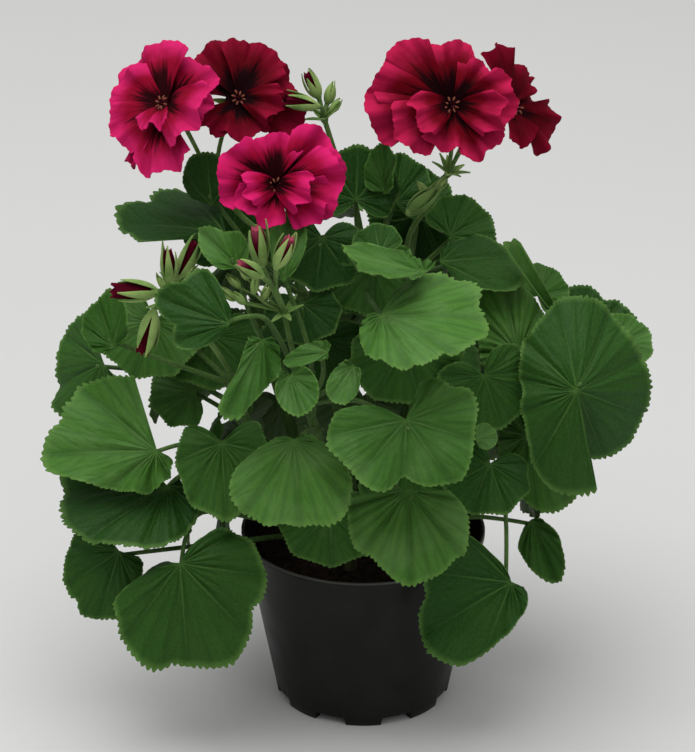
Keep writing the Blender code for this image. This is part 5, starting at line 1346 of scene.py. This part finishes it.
def soil_skin(settings):
    """The soil: a rough top with crumbs and clods on it, and the plug down to the floor."""
    skin = Skin()
    dice = np.random.default_rng(11)
    floor = FLOOR_RAISE + FLOOR_THICK + GAP
    edge = wall_radius(SOIL_TOP) - POT_WALL - GAP
    low = wall_radius(floor) - POT_WALL - GAP
    rows, sides = 46, 150

    def height(x, y):
        ripple = sin(x * 330 + 1) * cos(y * 270) + sin(y * 610)
        spot = Vector((x, y, 0)) / MM
        rough = noise.fractal(spot * 0.21, 0.7, 2.1, 5) * 0.9 + noise.noise(spot * 0.06) * 1.1
        return SOIL_TOP + ripple * SOIL_ROUGH / 2 * 0.5 + rough * MM

    points = [(0.0, 0.0, height(0.0, 0.0))]
    for k in range(1, rows + 1):
        reach = edge * k / rows
        for side in range(sides):
            turn = 2 * pi * (side + 0.5 * (k % 2)) / sides
            x, y = reach * cos(turn), reach * sin(turn)
            points.append((x, y, height(x, y)))
    for side in range(sides):
        turn = 2 * pi * (side + 0.5 * (rows % 2)) / sides
        points.append((low * cos(turn), low * sin(turn), floor))
    points.append((0.0, 0.0, floor))
    number = np.arange(sides)
    following = (number + 1) % sides
    fan = np.stack([number * 0, 1 + number, 1 + following], axis=1)
    bottom = len(points) - 1
    last = 1 + rows * sides
    base = np.stack([number * 0 + bottom, last + following, last + number], axis=1)
    k = np.arange(rows)[:, None]
    a, b = (1 + k * sides + number).ravel(), (1 + k * sides + following).ravel()
    walls = np.stack([a, a + sides, b + sides, b], axis=1)
    skin.add(points, [(fan, 0), (walls, 0), (base, 0)])

    lump = bmesh.new()
    bmesh.ops.create_icosphere(lump, subdivisions=1, radius=1.0)
    ball = np.array([vert.co[:] for vert in lump.verts])
    faces = np.array([[vert.index for vert in face.verts] for face in lump.faces])
    lump.free()
    for _ in range(settings.crumbs):
        size = (0.35 + 1.5 * dice.random() ** 3) * MM
        reach = (edge - size * 1.1) * dice.random() ** 0.5
        turn = dice.uniform(0, 2 * pi)
        x, y = reach * cos(turn), reach * sin(turn)
        form = ball * (1 + dice.uniform(-0.3, 0.3, (len(ball), 1)))
        form = form * (size * dice.uniform(0.6, 1.2, 3))
        spin = dice.uniform(0, 2 * pi)
        turned = np.stack([form[:, 0] * cos(spin) - form[:, 1] * sin(spin),
                           form[:, 0] * sin(spin) + form[:, 1] * cos(spin), form[:, 2]], axis=1)
        skin.add(turned + (x, y, height(x, y) + size * 0.3), [(faces, 0)], tint=dice.random())
    return skin


def add_stem(skin, name, leaves, dice):
    """A leafy stem with swollen nodes, and its leaf stalks with a pair of stipules each."""
    base = even_path(stem_path(name), 34)
    along = np.linspace(0, 1, len(base))
    radii = STEM_BASE + (STEM_TIP - STEM_BASE) * along
    roots = [np.array(path[0]) for blade, path, leaf, far in leaves]
    for root in roots:
        near = np.linalg.norm(base - root, axis=1)
        radii = radii + NODE_SWELL * np.exp(-(near / NODE_LONG) ** 2)
    radii = np.minimum(radii, STEM_BASE * 1.12)
    radii[-1] *= 0.6
    high = np.repeat(along, STEM_SIDES)
    marks = np.stack([high * 0, high, high * 0 + 1], axis=1)
    add_rod(skin, base, radii, STEM_SIDES, 0, 0.2, marks)
    for (blade, path, leaf, far), root in zip(leaves, roots):
        line = even_path(path, 22)
        reach = np.linspace(0, 1, len(line))
        radius = PETIOLE * (1.12 - 0.3 * reach + 0.5 * np.exp(-reach * 14))
        add_rod(skin, line, radius, 9, 1, dice.random())
        way = Vector(line[2] - line[0])
        for turn in (1, -1):
            beside = way.cross(UP).normalized() * turn
            lean = beside + way.normalized() * 0.9 + UP * 0.3
            add_lance(skin, root + np.array(beside) * STEM_TIP * 0.7, lean, UP - way * 0.2,
                      *STIPULE_SIZE, 0.15, 1)


def add_umbel(skin, name, node, dice):
    """A head's main stalk and pedicels, the swollen node that joins them, and its bracts."""
    paths = stalk_paths(name)
    main, radius = paths[0]
    line = even_path(main, 30)
    add_rod(skin, line, radius * np.linspace(1.05, 0.9, len(line)), CUP_SIDES, 0, 0.3)
    rise = (main[-1] - main[-2]).normalized()
    swell = [node - rise * 2.2 * MM, node, node + rise * 1.6 * MM]
    add_rod(skin, swell, np.array([0.8, 1.15, 0.8]) * NODE_RADIUS, CUP_SIDES, 0, 0.3)
    for path, radius in paths[1:]:
        line = even_path(path, 18)
        reach = np.linspace(0, 1, len(line))
        add_rod(skin, line, radius * (1.15 + 0.35 * reach ** 6), 10, 0, dice.random())
    spray = SPRAYS[name]
    way = (node - Vector(STEMS[spray.stem][-1]) * MM).normalized()
    foot = node - way * 1.5 * MM
    count = spray.bracts + 2
    for k in range(count):
        out = aside(way, 2 * pi * (k + dice.uniform(-0.2, 0.2)) / count)
        lean = out * dice.uniform(0.75, 1.0) + way * dice.uniform(0.35, 0.7)
        add_lance(skin, foot + way * MM + out * PEDUNCLE, lean, way, BRACT_LONG, LANCE_WIDE,
                  -0.12, 1, dice.random())


def add_head(skin, name, dice):
    """A head's stalks, and the green cups of its blooms and buds."""
    node = umbel_point(name)
    add_umbel(skin, name, node, dice)
    for bloom in BLOOMS.values():
        if bloom.spray == name:
            joint, way, seat = bloom_frame(bloom)
            cup = [seat - way * CUP_DEEP, seat, seat + way * 1.2 * MM, seat + way * 2.6 * MM]
            add_rod(skin, cup, np.array([1.2, 2.0, 2.5, 2.3]) * MM, CUP_SIDES, 1, 0.5)
            for k in range(SEPAL_COUNT):
                out = aside(way, SEPAL_TURN + 2 * pi * k / SEPAL_COUNT)
                add_lance(skin, seat + out * CUP_RADIUS * 0.7 + way * 0.6 * MM,
                          out * 0.95 + way * dice.uniform(0.15, 0.4), way, SEPAL_LONG * 1.05,
                          LANCE_WIDE, dice.uniform(-0.15, 0.05), 1, dice.random())
    for pixel, depth, lean in YOUNG_BUDS.get(name, ()):
        foot = in_view(pixel, depth * MM)
        grow = (VIEW_RIGHT * lean + VIEW_UP + VIEW_BACK * 0.3).normalized()
        leave = (foot - node).normalized() + UP
        line = even_path(bend(node, leave, foot, grow, 2), 10)
        add_rod(skin, line, YOUNG_STALK, 8, 0, 0.5)
        add_roll(skin, foot, grow, YOUNG_LONG * 0.9, YOUNG_GIRTH * 0.8, dice, 0.0, 1)
        add_clasp(skin, foot, grow, YOUNG_LONG, YOUNG_GIRTH, 0.25, dice, 1)
    slot = 0 if name == "head_right" else 1
    for bud in BUDS.values():
        if bud.spray == name:
            base, tip, way = bud_frame(bud)
            length, girth = (tip - base).length, bud.girth * MM
            foot = [base - way * 0.6 * MM, base + way * 1.2 * MM, base + way * 3.4 * MM]
            add_rod(skin, foot, (PEDICEL * 1.2, girth * 0.3, girth * 0.36), CUP_SIDES, 1, 0.5)
            if not bud.open:
                add_roll(skin, base, way, length * 0.94, girth * 0.86, dice, 0.0, slot)
            add_clasp(skin, base, way, length * (1.0 - 0.1 * bud.open), girth, bud.open, dice, slot)


def add_bloom(skin, name, bloom, dice):
    """An open bloom: ruffled petals in layers, folded inner ones, and the stamens."""
    joint, way, seat = bloom_frame(bloom)
    throat = [seat + way * 0.6 * MM, seat + way * 3 * MM, joint - way * 1.2 * MM, joint + way * 0.2 * MM]
    marks = np.zeros((len(throat) * CUP_SIDES, 3))
    add_rod(skin, throat, np.array([1.6, 1.7, 2.2, 5.5]) * MM, CUP_SIDES, 0, 0.5, marks)
    for number, petal in enumerate(bloom.petals):
        blade = petal_blade(bloom, petal, number)
        add_petal(skin, blade, petal, PETAL_PHASE * number, dice, dice.random())
    for k in range(STAMEN_COUNT):
        out = aside(way, 2 * pi * k / STAMEN_COUNT + 0.4)
        reach = dice.uniform(0.7, 1.1)
        start = joint + way * 1.5 * MM + out * 0.8 * MM
        end = start + way * (8.5 * MM * reach) + out * (2.2 * MM * reach) - UP * 0.8 * MM
        bow = start.lerp(end, 0.5) + way * 0.6 * MM
        line = even_path([start, bow, end], 8)
        add_rod(skin, line, np.linspace(0.32, 0.2, len(line)) * MM, 7, 2, 0.5)
        anther = [end - out * 0.9 * MM, end, end + out * 0.9 * MM]
        add_rod(skin, anther, np.array([0.35, 0.55, 0.35]) * MM, 7, 3, 0.5)


def tone(name, description, default):
    """A colour of the plant that the user can change."""
    return FloatVectorProperty(name=name, description=description, default=default,
                               subtype="COLOR", min=0, max=1)


class PotSettings(bpy.types.PropertyGroup):
    # The lip colour is a painted highlight along the rim's upper edge
    lip: tone("Lip", "Rubbed grey of the rim's upper edge", (0.09, 0.09, 0.08))
    lip_softness: FloatProperty(
        name="Lip softness", description="Rounding of the rim's two edges",
        default=0.5 * MM, min=0.1 * MM, max=0.65 * MM, subtype="DISTANCE", unit="LENGTH")
    plastic: tone("Plastic", "Colour of the moulded plastic", (0.0065, 0.0068, 0.0056))
    plastic_worn: tone("Worn plastic", "Colour where handling has dulled it",
                       (0.012, 0.0122, 0.0105))
    dust: tone("Dust", "Colour of dried soil specks on the wall", (0.05, 0.045, 0.035))


class SoilSettings(bpy.types.PropertyGroup):
    peat: tone("Peat", "Main colour of the soil", (0.024, 0.016, 0.011))
    # The hollows colour is the soil's colour where its bump is low
    peat_hollows: tone("Damp peat", "Colour in the hollows", (0.008, 0.006, 0.005))
    peat_dry: tone("Dry peat", "Colour of dry fibres and crumbs", (0.085, 0.058, 0.038))
    crumbs: IntProperty(
        name="Crumbs", description="How many loose crumbs lie on the soil", default=700,
        min=0, max=1500)


class LeafSettings(bpy.types.PropertyGroup):
    upper: tone("Upper side", "Mid green of the blade", (0.054, 0.158, 0.019))
    # The deep green is painted shade, on leaves in shade and in the ribs' valleys
    deep: tone("Deep green", "Darker green in the ribs' valleys", (0.009, 0.046, 0.004))
    margin: tone("Margin and ribs", "Pale green of the margin and the ribs", (0.12, 0.24, 0.05))
    # The sunlit patches are a painted sheen on the lighter leaves
    painted_sheen: tone("Sunlit patches", "Paler green in soft patches", (0.1, 0.2, 0.06))
    under: tone("Under side", "Greyer green below", (0.12, 0.2, 0.075))
    # The under side's deep green is painted shade too
    under_deep: tone("Under side, deep", "Darker green below", (0.055, 0.115, 0.035))
    stalk: tone("Leaf stalk", "Green of the leaf stalks", (0.062, 0.135, 0.023))
    stalk_deep: tone("Leaf stalk, deep", "Darker green of the leaf stalks", (0.036, 0.09, 0.014))
    bark: tone("Bark", "Brown of the old stems", (0.09, 0.062, 0.036))


class FlowerSettings(bpy.types.PropertyGroup):
    sepal: tone("Sepals", "Light green of sepals and bud cups", (0.28, 0.4, 0.12))
    sepal_deep: tone("Sepals, deep", "Darker green of sepals", (0.11, 0.22, 0.04))
    filament: tone("Filaments", "Colour of the stamens' threads", (0.2, 0.02, 0.04))
    anther: tone("Anthers", "Colour of the stamens' tips", (0.22, 0.05, 0.02))
    stalk: tone("Flower stalks", "Green of the flower stalks", (0.13, 0.23, 0.055))
    bud: tone("Rolled petals", "Crimson of the petals in a bud", (0.05, 0.001, 0.006))
    bud_pink: tone("Rolled petals, pink", "Pink of the petals in the middle buds",
                   (0.42, 0.07, 0.12))


class StageSettings(bpy.types.PropertyGroup):
    floor: tone("Floor", "Pale colour of the floor", (0.585, 0.587, 0.577))
    key_power: FloatProperty(
        name="Key light", description="Power of the large light overhead", default=50.0, min=0,
        unit="POWER")
    fill_power: FloatProperty(
        name="Fill light", description="Power of the light beside the camera", default=2.0, min=0,
        unit="POWER")
    sky: FloatProperty(
        name="Sky", description="Strength of the even light all round", default=0.84, min=0)


# Margin, middle and throat of each bloom's petals, and how far the dark blotch reaches; the back and
# side blooms are painted darker, as painted shade
BLOOM_COLORS_AND_SHADE = {
    "bloom_left": (((0.55, 0.015, 0.12), (0.22, 0.002, 0.018), (0.018, 0.001, 0.002)), 0.54),
    "bloom_back": (((0.22, 0.004, 0.024), (0.09, 0.001, 0.005), (0.008, 0.001, 0.002)), 0.54),
    "bloom_front": (((0.57, 0.013, 0.125), (0.27, 0.002, 0.026), (0.016, 0.001, 0.002)), 0.6),
    "bloom_right": (((0.46, 0.012, 0.068), (0.12, 0.001, 0.006), (0.009, 0.001, 0.002)), 0.52),
    "bloom_side": (((0.19, 0.003, 0.018), (0.08, 0.001, 0.005), (0.01, 0.001, 0.002)), 0.42),
}


# Young buds of a head: where the picture shows each one's foot, its depth behind the origin in
# mm, and how far it leans to the right
YOUNG_BUDS = {
    "buds_middle": (((240, 288), -64, -0.9), ((248, 280), -66, -0.4), ((236, 300), -66, -1.3),
                    ((254, 294), -68, 0.1), ((245, 304), -68, -1.0), ((262, 300), -64, 0.5)),
    "head_right": (((428, 196), 0, -0.8), ((436, 190), -3, 0.9)),
    "buds_left": (((184, 278), -58, 1.1), ((166, 290), -62, -0.5)),
    "buds_top": (((330, 112), 14, 0.9), ((314, 110), 12, -1.2)),
}
YOUNG_LONG = 7.5 * MM
YOUNG_GIRTH = 3.4 * MM
YOUNG_STALK = 0.55 * MM

# How light a green some leaves are: partly age, from the old dark ones to the young pale ones,
# and partly painted shade, dark for leaves in the shade of others and light for those in full light
LEAF_AGE_AND_SHADE = {
    "fan": 0.82, "low_left": 0.0, "paddle": 0.25, "apron": 0.22, "umbrella": 0.92, "saddle": 0.56,
    "shell": 0.7, "plate": 0.94, "pennant": 0.08, "shield": 0.15, "mitten": 0.05, "drop": 0.5,
    "grey": 0.95, "low_right": 0.6, "spoon": 0.4, "wing_left": 0.0, "under_bloom": 0.05, "peak": 0.0,
    "far_left": 0.3, "young_left": 0.45, "brim": 0.15, "crest": 0.0, "crest_right": 0.25,
    "brow": 0.2, "glow": 0.35, "knife": 0.8, "blade": 0.6, "spark": 0.75, "chip": 1.0, "lime": 0.95,
    "lip": 0.8, "tongue": 0.75, "fold_young": 0.6, "under_umbrella": 0.5, "bract_leaf": 0.8,
    "behind_umbrella": 0.4, "horn": 0.6, "far_right": 0.7, "hollow": 0.0, "dusk": 0.2,
    "nape": 0.05, "core": 0.0, "shade_middle": 0.0, "mass": 0.0,
}

# The stage in metres: half the floor's side, and each light's place, aim and size
FLOOR_HALF = 12.0
KEY_LIGHT = ((-0.35, -0.45, 2.6), (0, 0, 0.1), 2.4)
FILL_LIGHT = ((0.9, -1.3, 0.9), (0, 0, 0.15), 0.9)
# The even light's grey below and above, and the heights at which each begins
SKY_STOPS = ((0.1, (0.14, 0.145, 0.15)), (0.75, (1.0, 1.0, 1.0)))


class PLANT_OT_pot(bpy.types.Operator):
    """Makes the tapered nursery pot on its notched foot"""
    bl_idname = "plant.pot"
    bl_label = "Nursery pot"

    def execute(self, context):
        settings = context.scene.plant_pot
        pot = new_object("nursery_pot", pot_shape(settings))
        cut_drains(pot)
        pot.data.polygons.foreach_set("use_smooth", [True] * len(pot.data.polygons))
        pot.data.set_sharp_from_angle(angle=radians(40))
        pot.data.materials.clear()
        pot.data.materials.append(plastic_finish(settings))
        dress(pot, "pot_plastic", "pot")
        return {"FINISHED"}


class PLANT_OT_soil(bpy.types.Operator):
    """Fills the pot with crumbly potting soil"""
    bl_idname = "plant.soil"
    bl_label = "Potting soil"

    def execute(self, context):
        settings = context.scene.plant_soil
        soil = soil_skin(settings).piece("potting_soil", [soil_finish(settings)], 80)
        dress(soil, "peat", "soil")
        return {"FINISHED"}


class PLANT_OT_foliage(bpy.types.Operator):
    """Grows the leafy stems: stems and leaf stalks, then the blades on them"""
    bl_idname = "plant.foliage"
    bl_label = "Stems and leaves"

    def execute(self, context):
        settings = context.scene.plant_leaves
        upper, under = leaf_finish("leaf_upper", settings), leaf_finish("leaf_under", settings, True)
        woody = stalk_finish("stem_bark", settings.stalk, settings.stalk_deep, settings.bark)
        green = stalk_finish("leaf_stalk", settings.stalk, settings.stalk_deep)
        for number, (name, leaves) in enumerate(grown_leaves().items()):
            dice = np.random.default_rng(100 + number)
            stalks, blades = Skin(), Skin()
            add_stem(stalks, name, leaves, dice)
            for blade, path, leaf, far in leaves:
                # Painted shade: a leaf with no listed tone takes a random tone, painted darker the
                # nearer its joint is to the axis
                core = min(1.0, blade.joint.xy.length / INNER_SHADE_REACH)
                tint = 0.45 * dice.random() + 0.35 * core
                add_leaf(blades, blade, dice, LEAF_AGE_AND_SHADE.get(leaf, tint), far)
            node = "stem_" + name
            dress(stalks.piece("stalks_" + name, [woody, green]), "stalk", node)
            dress(blades.piece("leaves_" + name, [upper, under]), "leaf", node)
        return {"FINISHED"}


class PLANT_OT_flower_stalks(bpy.types.Operator):
    """Adds the heads' stalks with their bracts, calyces and the sepals of the buds"""
    bl_idname = "plant.flower_stalks"
    bl_label = "Flower stalks"

    def execute(self, context):
        settings = context.scene.plant_flowers
        leaves = context.scene.plant_leaves
        stalk = stalk_finish("flower_stalk", settings.stalk, leaves.stalk)
        sepal = stalk_finish("sepal", settings.sepal, settings.sepal_deep)
        for number, name in enumerate(SPRAYS):
            skin = Skin()
            add_head(skin, name, np.random.default_rng(200 + number))
            dress(skin.piece("stalks_" + name, [stalk, sepal]), "stalk", name)
        return {"FINISHED"}


class PLANT_OT_bud_petals(bpy.types.Operator):
    """Rolls up the coloured petals inside each opening bud"""
    bl_idname = "plant.bud_petals"
    bl_label = "Bud petals"

    def execute(self, context):
        settings = context.scene.plant_flowers
        deep, pink = tuple(settings.bud), tuple(settings.bud_pink)
        margin = (deep[0] * 1.8, deep[1] * 2, deep[2] * 2.2)
        dark = petal_finish("bud_petal", (margin, deep, BUD_THROAT), 0.1)
        rosy = petal_finish("bud_petal_pink", (pink, margin, deep), 0.1)
        for number, (name, bud) in enumerate(BUDS.items()):
            if not bud.open:
                continue
            base, tip, way = bud_frame(bud)
            length = (tip - base).length
            start = base + way * BUD_SEAT
            end = base + way * length * (0.92 + 0.12 * bud.open)
            girth = bud.girth * (0.74 + 0.12 * bud.open) * MM
            skin = Skin()
            add_roll(skin, start, way, (end - start).length, girth,
                     np.random.default_rng(300 + number), bud.open)
            finish = rosy if bud.spray == "buds_middle" else dark
            dress(skin.piece(name + "_rolled", [finish]), "bud_petal", name + "_petals")
        return {"FINISHED"}


class PLANT_OT_blooms(bpy.types.Operator):
    """Opens the blooms: ruffled petals with dark throats, and their stamens"""
    bl_idname = "plant.blooms"
    bl_label = "Open blooms"

    def execute(self, context):
        settings = context.scene.plant_flowers
        filament, anther = Finish("filament", 0.5), Finish("anther", 0.8)
        for finish, color in ((filament, settings.filament), (anther, settings.anther)):
            grain = finish.noise(finish.here(), 1800.0, 2.0)
            finish.color(finish.mix(grain, [part * 0.6 for part in color], color))
        for number, (name, bloom) in enumerate(BLOOMS.items()):
            colors, blotch = BLOOM_COLORS_AND_SHADE[name]
            finishes = [petal_finish(name + "_face", colors, blotch),
                        petal_finish(name + "_back", colors, blotch * 0.7, True),
                        filament.material, anther.material]
            skin = Skin()
            add_bloom(skin, name, bloom, np.random.default_rng(400 + number))
            dress(skin.piece("petals_" + name, finishes, 60), "petal", name)
        return {"FINISHED"}


class PLANT_OT_stage(bpy.types.Operator):
    """Sets the pale floor, the soft lights and the camera"""
    bl_idname = "plant.stage"
    bl_label = "Floor, lights and camera"

    def execute(self, context):
        settings = context.scene.plant_stage
        shape = bmesh.new()
        bmesh.ops.create_grid(shape, x_segments=2, y_segments=2, size=FLOOR_HALF)
        floor = new_object("floor", shape)
        finish = Finish("floor", 0.75, 0.3)
        patch = finish.noise(finish.here(), 3.0, 4.0)
        finish.color(finish.mix(patch, [part * 0.97 for part in settings.floor], settings.floor))
        floor.data.materials.append(finish.material)

        world = bpy.data.worlds.new("even_light")
        world.use_nodes = True
        links, nodes = world.node_tree.links, world.node_tree.nodes
        back = nodes["Background"]
        back.inputs["Strength"].default_value = settings.sky
        place, split = nodes.new("ShaderNodeTexCoord"), nodes.new("ShaderNodeSeparateXYZ")
        ramp = nodes.new("ShaderNodeValToRGB")
        for stop, (position, grey) in zip(ramp.color_ramp.elements, SKY_STOPS):
            stop.color = (*grey, 1.0)
            stop.position = position
        links.new(place.outputs["Generated"], split.inputs[0])
        links.new(split.outputs[2], ramp.inputs[0])
        links.new(ramp.outputs[0], back.inputs["Color"])
        context.scene.world = world
        context.scene.view_settings.view_transform = "Standard"
        self.add_light(context, "overhead", *KEY_LIGHT, settings.key_power)
        self.add_light(context, "fill", *FILL_LIGHT, settings.fill_power)

        camera = bpy.data.objects.new("camera", bpy.data.cameras.new("camera"))
        camera.data.sensor_width = SENSOR
        camera.data.lens = VIEW_FOCAL * SENSOR / max(PICTURE)
        camera.data.clip_start = 0.01
        turn = Matrix((VIEW_RIGHT, VIEW_UP, VIEW_BACK)).transposed()
        camera.matrix_world = Matrix.Translation(VIEW_POINT) @ turn.to_4x4()
        context.scene.collection.objects.link(camera)
        context.scene.camera = camera
        return {"FINISHED"}

    def add_light(self, context, name, place, aim, size, power):
        data = bpy.data.lights.new(name, "AREA")
        data.shape = "DISK"
        data.size = size
        data.energy = power
        light = bpy.data.objects.new(name, data)
        light.location = place
        light.rotation_euler = (Vector(aim) - Vector(place)).to_track_quat("-Z", "Y").to_euler()
        context.scene.collection.objects.link(light)


class PLANT_PT_panel(bpy.types.Panel):
    bl_label = "Potted plant"
    bl_space_type = "VIEW_3D"
    bl_region_type = "UI"
    bl_category = "Plant"

    def draw(self, context):
        layout = self.layout
        for group, operators in PANEL_ROWS:
            box = layout.box()
            settings = getattr(context.scene, group)
            for key in settings.__annotations__:
                box.prop(settings, key)
            for operator in operators:
                box.operator(operator.bl_idname)


SETTINGS = {
    "plant_pot": PotSettings,
    "plant_soil": SoilSettings,
    "plant_leaves": LeafSettings,
    "plant_flowers": FlowerSettings,
    "plant_stage": StageSettings,
}
OPERATORS = (PLANT_OT_pot, PLANT_OT_soil, PLANT_OT_foliage, PLANT_OT_flower_stalks,
             PLANT_OT_bud_petals, PLANT_OT_blooms, PLANT_OT_stage)
PANEL_ROWS = (
    ("plant_pot", (PLANT_OT_pot,)),
    ("plant_soil", (PLANT_OT_soil,)),
    ("plant_leaves", (PLANT_OT_foliage,)),
    ("plant_flowers", (PLANT_OT_flower_stalks, PLANT_OT_bud_petals, PLANT_OT_blooms)),
    ("plant_stage", (PLANT_OT_stage,)),
)


def register():
    for group in SETTINGS.values():
        bpy.utils.register_class(group)
    for name, group in SETTINGS.items():
        setattr(bpy.types.Scene, name, PointerProperty(type=group))
    for operator in OPERATORS:
        bpy.utils.register_class(operator)
    bpy.utils.register_class(PLANT_PT_panel)


def unregister():
    bpy.utils.unregister_class(PLANT_PT_panel)
    for operator in reversed(OPERATORS):
        bpy.utils.unregister_class(operator)
    for name in SETTINGS:
        delattr(bpy.types.Scene, name)
    for group in reversed(list(SETTINGS.values())):
        bpy.utils.unregister_class(group)


def main():
    register()
    bpy.ops.plant.stage()
    bpy.ops.plant.pot()
    bpy.ops.plant.soil()
    bpy.ops.plant.foliage()
    bpy.ops.plant.flower_stalks()
    bpy.ops.plant.bud_petals()
    bpy.ops.plant.blooms()
    bpy.context.view_layer.update()


if __name__ == "__main__":
    main()
